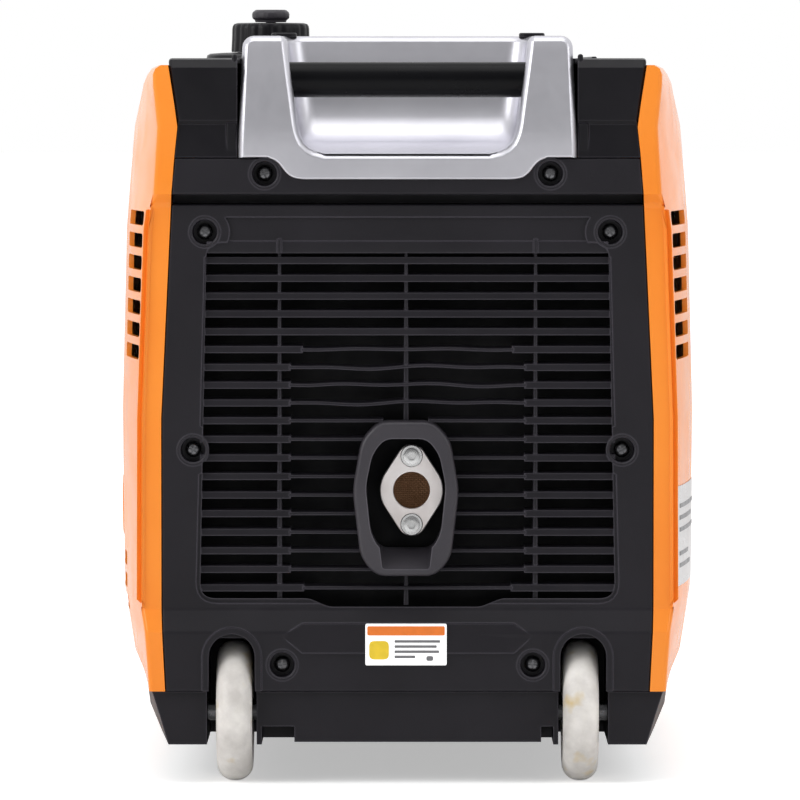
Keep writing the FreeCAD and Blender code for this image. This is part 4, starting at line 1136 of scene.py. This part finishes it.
def fluted(profile, flutes, depth, low, high, steps=216):
    """A turned part of the filler with hollow flutes between two heights."""
    obj = turned(profile, "z", (FILLER_X, FILLER_Y, 0), steps)
    widest = max(radius for radius, z in profile)
    for vertex in obj.data.vertices:
        away = Vector((vertex.co.x / MM - FILLER_X, vertex.co.y / MM - FILLER_Y, 0))
        if away.length > widest - 3.2 and low < vertex.co.z / MM < high:
            wave = 0.5 + 0.5 * math.cos(flutes * math.atan2(away.y, away.x))
            vertex.co -= away.normalized() * depth * wave ** 2 * MM
    return obj


def fuel_cap():
    profile = [
        (3.1, 444.7), (14.0, 444.7), (20.2, 444.6), (22.3, 443.9), (23.2, 442.6), (23.5, 441.0),
        (23.6, 436.0), (24.0, 428.0), (23.7, 427.0), (21.2, 427.0), (21.0, 438.4), (3.1, 438.6),
    ]
    return fluted(profile, 20, 0.7, 427.5, 443.5)


def vent_knob():
    profile = [
        (0.0, 439.0), (3.0, 439.0), (3.0, 445.0), (9.3, 445.1), (9.7, 446.4), (10.8, 447.2), (11.3, 448.0),
        (11.4, 450.0), (10.9, 451.2), (9.4, 452.4), (8.6, 452.6), (0.0, 452.6),
    ]
    return fluted(profile, 24, 0.15, 447.6, 450.6, 144)


def filler_neck():
    wall = [
        (17.5, 404), (26.8, 404), (26.8, 406.6), (20.0, 407.4), (20.0, 435.5), (19.4, 436), (18.1, 436),
        (17.5, 435.4),
    ]
    return turned(wall, "z", (FILLER_X, FILLER_Y, 0), 72)


# Wheels and base


WHEEL_Y = -258.0
WHEEL_Z = 41.0  # the wheel's radius too, as it stands on the ground


def tyre(x):
    """A round-shouldered solid tyre."""
    half = 10.5
    shoulder = 9.2
    outer = arc(half - shoulder, WHEEL_Z - shoulder, shoulder, 0, 90, 8)
    right = [(29.2, half - 0.4), (31.0, half)] + [(r, a) for a, r in outer]
    left = [(r, -a) for r, a in reversed(right)]
    wheel_profile = right + [(WHEEL_Z, 0.0)] + left
    return turned(wheel_profile, "x", (x, WHEEL_Y, WHEEL_Z), 96)


def wheel_hub(x):
    """Rim, five-holed web and bearing boss."""
    profile = [
        (11.0, -9), (14.0, -9), (14.4, -4), (24.4, -3), (25.5, -9), (29.2, -9),
        (29.2, 9), (25.5, 9), (24.4, 3), (14.4, 4), (14.0, 9), (11.0, 9),
    ]
    hub = turned(profile, "x", (x, WHEEL_Y, WHEEL_Z), 72)
    holes = []
    for index in range(5):
        angle = math.radians(72 * index + 90)
        centre = (x - 10, WHEEL_Y + 19.4 * math.cos(angle), WHEEL_Z + 19.4 * math.sin(angle))
        holes.append(rod("x", centre, 20, 3.4, 0.1, 24))
    return round_edges(carve(hub, holes), 0.5, 2)


def bearing(x):
    """A shielded ball bearing: outer ring, dished shield and inner ring."""
    profile = [
        (4.1, -3.5), (6.3, -3.5), (6.6, -3.2), (6.7, -2.8), (8.9, -2.8), (9.1, -3.3), (10.7, -3.5),
        (11.0, -3.2), (11.0, 3.2), (10.7, 3.5), (9.1, 3.3), (8.9, 2.8), (6.7, 2.8), (6.6, 3.2), (6.3, 3.5),
        (4.1, 3.5),
    ]
    return turned(profile, "x", (x, WHEEL_Y, WHEEL_Z), 48)


def wheel_bolt(x_sign):
    """The axle bolt with a hexagon head and nut, and its spacers."""
    parts = [rod("x", (80, WHEEL_Y, WHEEL_Z), 41, 3.95, 0.5, 32)]
    for low, high in ((119.9, 124), (80, 85)):
        parts.append(slab(hexagon(WHEEL_Y, WHEEL_Z, 7.2), "x", low, high, 0.6, 2))
    for low, high in ((88, 91.2), (110.3, 117)):
        spacer = [(4.0, low), (6.0, low), (6.0, high), (4.0, high)]
        parts.append(turned(spacer, "x", (0, WHEEL_Y, WHEEL_Z), 32))
    bolt = join(parts)
    return bolt if x_sign > 0 else turned_over(bolt)


# Labels


def patch(x0, x1, z0, z1, layer, thick=0.12, radius=1.0):
    """A thin printed shape on the lower panel of the exhaust end."""
    outline = rectangle(x0, x1, z0, z1, radius, 4)
    face = -290.2 - layer * 0.1
    return slab(outline, "y", face, face + thick)


def side_sheet(y0, y1, z0, z1, lift):
    """A thin sheet that follows the right side panel."""
    lengths = [y0 + (y1 - y0) * column / 16 for column in range(17)]
    heights = [z0 + (z1 - z0) * row / 8 for row in range(9)]
    sheet = netting([[(side_surface(y, z) + lift, y, z) for y in lengths] for z in heights])
    thick = sheet.modifiers.new("thickness", "SOLIDIFY")
    thick.thickness = 0.25 * MM
    thick.offset = 0.0
    pick(sheet)
    bpy.ops.object.modifier_apply(modifier=thick.name)
    return face_out(sheet)


def side_surface(y, z):
    """Half-width of the modelled panel, between its own stations."""
    stations = [s * k for s in SIDE_STATIONS for k in (-1, 1)] + [0.0]
    table = [(s, half_width(s, z)) for s in sorted(stations)]
    return between(table, y)


# Recoil starter, service door


ROPE_Y = -10
ROPE_Z = 153


def recoil_handle():
    """The pull grip: a soft block with finger grooves behind and a stem for the rope."""
    outline = rectangle(-54, 34, 140, 166, 9.0, 6)
    grip = slab(outline, "x", -175.5, -160)
    round_edges(grip, 4.0, 5)
    grooves = [block(-177.0, -174.7, y, y + 1.8, 146, 160, 0.6, 2) for y in (-36, -30, -24, 2, 8, 14)]
    carve(grip, grooves)
    stem_profile = [
        (0.0, -161), (7.0, -161), (6.6, -155.0), (5.6, -152.0), (2.5, -152.0), (2.5, -158), (0.0, -158),
    ]
    stem = turned(stem_profile, "x", (0, ROPE_Y, ROPE_Z), 40)
    return join([grip, stem])


def recoil_rope():
    """Braided rope, as a twisted three-strand bar with many rings along its length."""
    steps = 60
    strands = []
    for strand in range(3):
        points = []
        for step in range(steps + 1):
            x = -157.0 + 20.5 * step / steps
            angle = 2 * math.pi * (strand / 3 + step / 24)
            points.append((x, ROPE_Y + 0.95 * math.cos(angle), ROPE_Z + 0.95 * math.sin(angle)))
        strands.append(tube(points, 1.3, 8))
    return join(strands)


def latch():
    """A quarter-turn latch with a finger wing."""
    middle, z = 55.0, 282.0
    profile = [
        (0.0, 163), (5.0, 163), (5.0, 170.2), (10.2, 170.2), (11.0, 171.0), (10.6, 172.4), (9.8, 172.8),
        (0.0, 172.8),
    ]
    knob = turned(profile, "x", (0, middle, z), 48)
    wing = block(171.5, 175.5, middle - 9.5, middle + 9.5, z - 2.6, z + 2.6, 1.3, 3)
    return join([knob, wing])


# Front end


PANEL_CUT = (270, 290)  # a cutter's reach through the control panel
INK = (279.9, 280.15)  # where the panel's printing lies
SOCKETS = (62.0, 4.0)
DIAL_X = -72.0
DIAL_Z = 276.0
START_X = -72
START_Z = 222
BREAKER_X = -40
BREAKER_Z = 180


def front_cover():
    plate = cover_plate()
    panel_opening = rectangle(-112.4, 112.4, 149.6, 325.4, 8.0, 5)
    tools = [slab(panel_opening, "y", *COVER_CUT)]
    for z in (112, 122, 132):
        tools.append(slab(rectangle(-90, 90, z, z + 6, 2.9, 5), "y", *COVER_CUT))
    for x, z in SCREWS:
        tools += both_sides(rod("y", (x, -300, z), 40, 8.0, 0.1, 48))
    carve(plate, tools)
    round_edges(plate, 1.1, 3, sharp=22)
    parts = [plate]
    for x, z in SCREWS:
        parts += both_sides(screw_cup(x, z))
    surround = slab(rectangle(-117, 117, 145, 330, 11.0, 5), "y", -283.0, -276.0)
    carve(surround, [slab(panel_opening, "y", *COVER_CUT)])
    parts.append(round_edges(surround, 1.2, 3))
    return turned_round(join(parts))


def turned_round(obj):
    """The piece at the other end of the machine, turned half round the upright axis."""
    obj.data.transform(Matrix.Rotation(math.pi, 4, "Z"))
    return obj


def panel_plate():
    """The control panel's face, pierced for the sockets, controls and display."""
    face = 280.0
    plate = slab(rectangle(-112, 112, 150, 325, 8.0, 5), "y", 277, face)
    tools = []
    for x in SOCKETS:
        tools.append(slab(rectangle(x - 17, x + 17, 179, 213, 8.0, 5), "y", *PANEL_CUT))
    tools.append(rod("y", (DIAL_X, 270, DIAL_Z), 20, 4.1, 0.1, 32))
    tools.append(rod("y", (START_X, 270, START_Z), 20, 10.1, 0.1, 40))
    tools.append(rod("y", (BREAKER_X, 270, BREAKER_Z), 20, 5.1, 0.1, 32))
    tools.append(block(-30, -14, 270, 290, 264.5, 287.5))
    tools.append(slab(rectangle(10, 90, 262, 302, 4.0, 4), "y", *PANEL_CUT))
    carve(plate, tools)
    round_edges(plate, 0.6, 2)
    lugs = []
    for x in SOCKETS:
        lugs += [block(x0, x0 + 4.5, 279, 287, 218, 226, 1.0, 2) for x0 in (x - 28, x + 23.5)]
    wide = [(10.4, 279.5), (14.0, 279.5), (13.4, 281.4), (11.0, 281.4), (10.4, 280.8)]
    narrow = [(5.3, 279.5), (8.4, 279.5), (8.0, 280.9), (5.8, 280.9)]
    start_ring = turned(wide, "y", (START_X, 0, START_Z), 48)
    breaker_ring = turned(narrow, "y", (BREAKER_X, 0, BREAKER_Z), 40)
    return join([plate] + lugs + [start_ring, breaker_ring])


def panel_marks():
    """Tick marks round the dial, and the frames printed round the groups of controls."""
    marks = []
    for index in range(7):
        angle = math.radians(90 - 40 * index + 120)
        a, b = math.cos(angle), math.sin(angle)
        inner = (DIAL_X + 24 * a, DIAL_Z + 24 * b)
        outer = (DIAL_X + 28.5 * a, DIAL_Z + 28.5 * b)
        wide = (-b * 0.6, a * 0.6)
        corners = [
            (inner[0] + wide[0], inner[1] + wide[1]), (outer[0] + wide[0], outer[1] + wide[1]),
            (outer[0] - wide[0], outer[1] - wide[1]), (inner[0] - wide[0], inner[1] - wide[1]),
        ]
        marks.append(slab(corners, "y", *INK))
    for x0, x1, z0, z1 in ((-108, -4, 240, 312), (4, 96, 252, 312), (-30, 92, 160, 236)):
        outline = rectangle(x0, x1, z0, z1, 6.0, 4)
        inside = rectangle(x0 + 0.9, x1 - 0.9, z0 + 0.9, z1 - 0.9, 5.2, 4)
        line = slab(outline, "y", *INK)
        marks.append(carve(line, [slab(inside, "y", 279, 281)]))
    return join(marks)


def dial():
    """The engine switch: a skirt with a grip bar (its pointer line is made apart, in dial_pointer)."""
    x, z = DIAL_X, DIAL_Z
    profile = [
        (0.0, 266), (4.0, 266), (4.0, 281), (20.4, 281), (21.0, 281.8), (20.6, 285.6), (19.0, 287.0),
        (0.0, 287.0),
    ]
    skirt = turned(profile, "y", (x, 0, z), 72)
    outline = [(x - 5.5, z - 19), (x + 5.5, z - 19), (x + 4.2, z + 19), (x - 4.2, z + 19)]
    bar = slab(rounded_outline(outline, 3.5, 4), "y", 286, 299)
    round_edges(bar, 1.6, 3, lambda m: m.y > 298)
    return join([skirt, bar])


def dial_pointer():
    return block(-72.7, -71.3, 298.7, 299.0, 284, 293.5, 0.12, 1)


def rocker():
    """A two-way rocker with a concave face."""
    x, z = -22.0, 276.0
    outline = [(274, z - 6), (279.5, z - 10.3), (283.5, z - 10)] + [
        (283.5 - 2.0 * math.cos(math.pi * t / 20), z + t) for t in range(-8, 9, 2)
    ] + [(283.5, z + 10), (279.5, z + 10.3), (274, z + 6)]
    cap = slab(outline, "x", x - 7, x + 7, 0.5, 2, lambda m: m.y > 279)
    return join([cap, rod("x", (x - 10, 278.5, z), 20, 1.0, 0.2, 16)])


def push_button(x, z, radius, face):
    """A round button with a dished top."""
    profile = [
        (0.0, 268), (radius, 268), (radius, face - 1.2), (radius - 0.5, face - 0.2), (radius - 1.4, face),
        (radius - 2.2, face - 0.3), (radius * 0.4, face - 0.9), (0.0, face - 1.0),
    ]
    return turned(profile, "y", (x, 0, z), 48)


def display_details():
    """Three readout windows behind the smoked cover, each a shallow tray."""
    pieces = []
    for index in range(3):
        x = 24 + 26 * index
        tray = block(x - 11, x + 11, 278.6, 279.8, 274, 294, 0.5, 2)
        carve(tray, [block(x - 9.8, x + 9.8, 279.3, 281, 275.4, 292.6)])
        pieces.append(tray)
    return join(pieces)


def socket_flap(x):
    """A spring-lid for a socket: crowned face, hinge barrel and lift tab."""
    z = 196.0
    lid = slab(rectangle(x - 23, x + 23, z - 23, z + 24, 5.0, 5), "y", 282, 285.5)
    round_edges(lid, 1.0, 3, lambda m: m.y > 285)
    raised = slab(rectangle(x - 17, x + 17, z - 17, z + 17, 4.0, 5), "y", 285, 286.6)
    round_edges(raised, 0.8, 2, lambda m: m.y > 286)
    tab = block(x - 8, x + 8, 284, 287.4, z - 24.5, z - 20.5, 0.9, 2)
    barrel = rod("x", (x - 23, 283.5, z + 26), 46, 3.0, 0.4, 28)
    pin = rod("x", (x - 26.5, 283.5, z + 26), 53, 1.45, 0.2, 16)
    return join([lid, raised, tab, barrel, pin])


# Assembly


def build_body():
    left, right, door = side_panels()
    cup, rim = recoil_surround()
    place(join([left, rim]), "left_side_panel_shell", "orange", "left_side_panel", angle=30)
    place(cup, "recoil_cup", "black")
    place(right, "right_side_panel_shell", "orange", "right_side_panel", angle=30)
    place(door, "service_door_skin", "orange", "service_door", "door", angle=30)
    place(latch(), "door_latch_knob", "satin", "service_door_latch", "door_latch")
    place(rear_cover(), "rear_cover_moulding", "black", "rear_cover")
    place(front_cover(), "front_cover_moulding", "black", "front_cover")
    place(baffle(), "louvre_baffle", "baffle")
    place(top_cover(), "top_cover_moulding", "satin", "top_cover")
    screws = []
    for x, z in SCREWS:
        for screw in both_sides(cover_screw(x, z)):
            screws += [screw, turned_round(copy_of(screw))]
    place(join(screws), "cover_screw_heads", "dark steel", "cover_screws")


def build_exhaust():
    place(exhaust_bezel(), "exhaust_bezel_moulding", "bezel", "exhaust_bezel")
    place(outlet_flange(), "outlet_flange_plate", "flange", "muffler_outlet_flange")
    place(spark_mesh(), "spark_mesh_weave", "mesh", "spark_arrestor_mesh")
    heads = [socket_screw(OUTLET_X, -277, OUTLET_Z + side * 20) for side in (-1, 1)]
    place(join(heads), "flange_screw_heads", "steel", "flange_screws")


def build_handles():
    casting = handle_frame()
    tube_ = grip_tube()
    plugs = [oval_plug(-72.9), oval_plug(73.4)]
    place(flipped(casting, 1), "front_handle_casting", "silver", "front_handle_frame")
    place(casting, "rear_handle_casting", "silver", "rear_handle_frame")
    place(flipped(tube_, 1), "front_grip_bar", "gloss black", "front_grip_tube")
    place(tube_, "rear_grip_bar", "gloss black", "rear_grip_tube")
    plugs += [flipped(plug, 1) for plug in plugs]
    place(join(plugs), "oval_plugs", "satin", "handle_plugs")


def build_fuel():
    place(fuel_cap(), "fuel_cap_moulding", "satin", "fuel_cap", "cap_turn")
    place(vent_knob(), "vent_knob_moulding", "bezel", "fuel_cap_vent_knob", "cap_vent")
    place(filler_neck(), "filler_neck_ring", "steel", "fuel_filler_neck")
    gasket = softened("fuel_cap_gasket", 0.3)
    place(gasket, "cap_gasket_ring", "rubber", "fuel_cap_gasket", "cap_lift")


def build_wheels():
    for side, sign in (("left", -1), ("right", 1)):
        body = side + "_wheel"
        x = sign * 101.0
        place(tyre(x), side + "_tyre", "wheel", body + "_tyre", body, 40)
        place(wheel_hub(x), side + "_hub", "satin", body + "_hub", body)
        bearings = [bearing(x - 5.5), bearing(x + 5.5)]
        place(join(bearings), side + "_bearings", "steel", body + "_bearings", body)
    bolts = [wheel_bolt(1), wheel_bolt(-1)]
    place(join(bolts), "axle_bolts", "dark steel", "wheel_bolts")
    place(softened("base_tray", 1.2, 3), "base_tray_moulding", "black", "base_tray")
    place(softened("front_feet", 1.6, 3), "rubber_feet", "rubber", "front_feet")


def build_recoil():
    place(recoil_handle(), "recoil_grip_moulding", "satin", "recoil_handle", "recoil_grip")
    rope = smooth(recoil_rope(), 60)
    rope.name = "recoil_rope_braid"
    rope.data.materials.append(FINISHES["rope"])
    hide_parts("recoil_rope")
    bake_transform(rope)


def build_panel():
    place(panel_plate(), "panel_face", "satin", "control_panel")
    place(panel_marks(), "panel_markings", "white ink")
    place(dial(), "dial_knob", "black", "engine_dial", "dial")
    place(dial_pointer(), "dial_pointer", "white ink", None, "dial")
    place(rocker(), "eco_rocker_cap", "black", "eco_rocker", "rocker")
    place(push_button(START_X, START_Z, 10, 285), "start_button_cap", "red", "start_button", "start")
    breaker = push_button(BREAKER_X, BREAKER_Z, 5, 283)
    place(breaker, "breaker_button_cap", "black", "ac_breaker_button", "breaker")
    place(softened("display_lens", 0.6), "display_window", "window", "display_lens")
    place(display_details(), "display_trays", "grey ink")
    place(softened("ac_sockets", 0.8), "socket_bodies", "bezel", "ac_sockets")
    place(socket_flap(SOCKETS[0]), "right_socket_lid", "black", "right_socket_cover", "right_socket_flap")
    place(socket_flap(SOCKETS[1]), "left_socket_lid", "black", "left_socket_cover", "left_socket_flap")


def build_labels():
    place(patch(-24.5, 22.8, 70.0, 94.2, 0, 1.6), "rear_label_film", "label", "rear_label")
    place(patch(-23.4, 21.7, 87.4, 92.8, 1), "rear_label_header", "orange ink")
    place(patch(-22.3, -10.8, 73.4, 84.2, 1, 0.12, 3.0), "rear_label_square", "yellow ink")
    lines = ((19.0, 83.2), (17.0, 80.2), (18.4, 77.2), (4.5, 74.2))
    bars = [patch(-7.5, right, z, z + 1.5, 1, 0.12, 0.4) for right, z in lines]
    bars.append(patch(11.0, 15.0, 72.6, 75.4, 1, 0.12, 1.2))
    place(join(bars), "rear_label_bars", "grey ink")
    place(side_sheet(-271, -171, 114.5, 173, 0.35), "side_label_film", "silver film")
    lines = ((78, 160), (64, 153), (80, 146), (42, 132), (56, 125))
    rows = [side_sheet(-262, -262 + length, z, z + 2.4, 0.62) for length, z in lines]
    place(join(rows), "side_label_bars", "grey ink")


INSIDE = {
    "casting": ("crankcase", "cylinder_head", "carburettor", "alternator_stator"),
    "heat": ("muffler_body", "muffler_heat_shield"),
    "steel": ("crankshaft", "alternator_rotor"),
    "label": ("spark_plug",),
    "black": (
        "recoil_housing", "recoil_pulley", "cooling_fan", "fan_shroud", "air_cleaner_box", "battery",
        "fuel_tank",
    ),
    "dark steel": ("inverter_module",),
    "rubber": ("engine_mounts",),
}


def finish_inside():
    """The frame's own pieces inside the casing keep their shape and get a full finish."""
    for finish, nodes in INSIDE.items():
        for node in nodes:
            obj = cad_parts[node]
            obj.data.materials.clear()
            obj.data.materials.append(FINISHES[finish])


build_body()
build_exhaust()
build_handles()
build_fuel()
build_wheels()
build_recoil()
build_panel()
build_labels()
finish_inside()


# Floor, light and camera


def floor():
    clear()
    bpy.ops.mesh.primitive_plane_add(size=60)
    obj = settle(bpy.context.object)
    obj.name = "floor"
    material, tree, shader, where = new_finish("pale floor")
    tree.links.new(ramp(tree, noise(tree, where, 3, 2), 0.92, 0.95), shader.inputs["Base Color"])
    shader.inputs["Roughness"].default_value = 0.8
    shader.inputs["Emission Color"].default_value = (1, 1, 1, 1)
    path = tree.nodes.new("ShaderNodeLightPath")
    lift = tree.nodes.new("ShaderNodeMath")
    lift.operation = "MULTIPLY"
    lift.inputs[1].default_value = 0.45
    tree.links.new(path.outputs["Is Camera Ray"], lift.inputs[0])
    tree.links.new(lift.outputs["Value"], shader.inputs["Emission Strength"])
    obj.data.materials.append(material)


def soft_light(name, place_, target, size, power, tall=None):
    """A rectangular light that faces its target."""
    clear()
    bpy.ops.object.light_add(type="AREA", location=place_)
    light = bpy.context.object
    light.name = name
    light.data.shape = "RECTANGLE"
    light.data.size = size
    light.data.size_y = tall or size
    light.data.energy = power
    light.rotation_euler = (Vector(target) - Vector(place_)).to_track_quat("-Z", "Y").to_euler()
    return light


def surroundings():
    """White to the camera; for light and reflections, bright behind and above and darker in front."""
    world = bpy.data.worlds.new("studio")
    bpy.context.scene.world = world
    world.use_nodes = True
    tree = world.node_tree
    background = tree.nodes["Background"]
    where = tree.nodes.new("ShaderNodeTexCoord")
    split = tree.nodes.new("ShaderNodeSeparateXYZ")
    tree.links.new(where.outputs["Generated"], split.inputs[0])
    spread = tree.nodes.new("ShaderNodeMapRange")
    spread.inputs["From Min"].default_value = -1.0
    spread.inputs["From Max"].default_value = 0.6
    spread.inputs["To Min"].default_value = 0.22
    spread.inputs["To Max"].default_value = 1.0
    rise = tree.nodes.new("ShaderNodeMath")
    rise.operation = "MULTIPLY_ADD"
    rise.inputs[1].default_value = 0.5
    tree.links.new(split.outputs["Z"], rise.inputs[0])
    tree.links.new(split.outputs["Y"], rise.inputs[2])
    tree.links.new(rise.outputs["Value"], spread.inputs["Value"])
    tree.links.new(spread.outputs["Result"], background.inputs["Strength"])
    background.inputs["Color"].default_value = (1, 1, 1, 1)
    plain = tree.nodes.new("ShaderNodeBackground")
    plain.inputs["Color"].default_value = (1, 1, 1, 1)
    plain.inputs["Strength"].default_value = 1.0
    path = tree.nodes.new("ShaderNodeLightPath")
    mix = tree.nodes.new("ShaderNodeMixShader")
    tree.links.new(path.outputs["Is Camera Ray"], mix.inputs["Fac"])
    tree.links.new(background.outputs["Background"], mix.inputs[1])
    tree.links.new(plain.outputs["Background"], mix.inputs[2])
    tree.links.new(mix.outputs["Shader"], tree.nodes["World Output"].inputs["Surface"])


def camera():
    clear()
    bpy.ops.object.camera_add(location=(0, -4.288, 0.416))
    obj = bpy.context.object
    target = Vector((-0.00435, -0.288, 0.2245))
    obj.rotation_euler = (target - obj.location).to_track_quat("-Z", "Y").to_euler()
    obj.data.sensor_width = 36
    obj.data.lens = 310
    bpy.context.scene.camera = obj


floor()
soft_light("overhead", (0, -0.6, 2.6), (0, -0.1, 0.2), 1.8, 16)
soft_light("left softbox", (-2.3, -1.7, 1.5), (0, -0.1, 0.25), 1.3, 30, 1.6)
soft_light("right softbox", (2.3, -1.7, 1.5), (0, -0.1, 0.25), 1.3, 14, 1.6)
surroundings()
camera()
bpy.context.scene.view_settings.view_transform = "Standard"
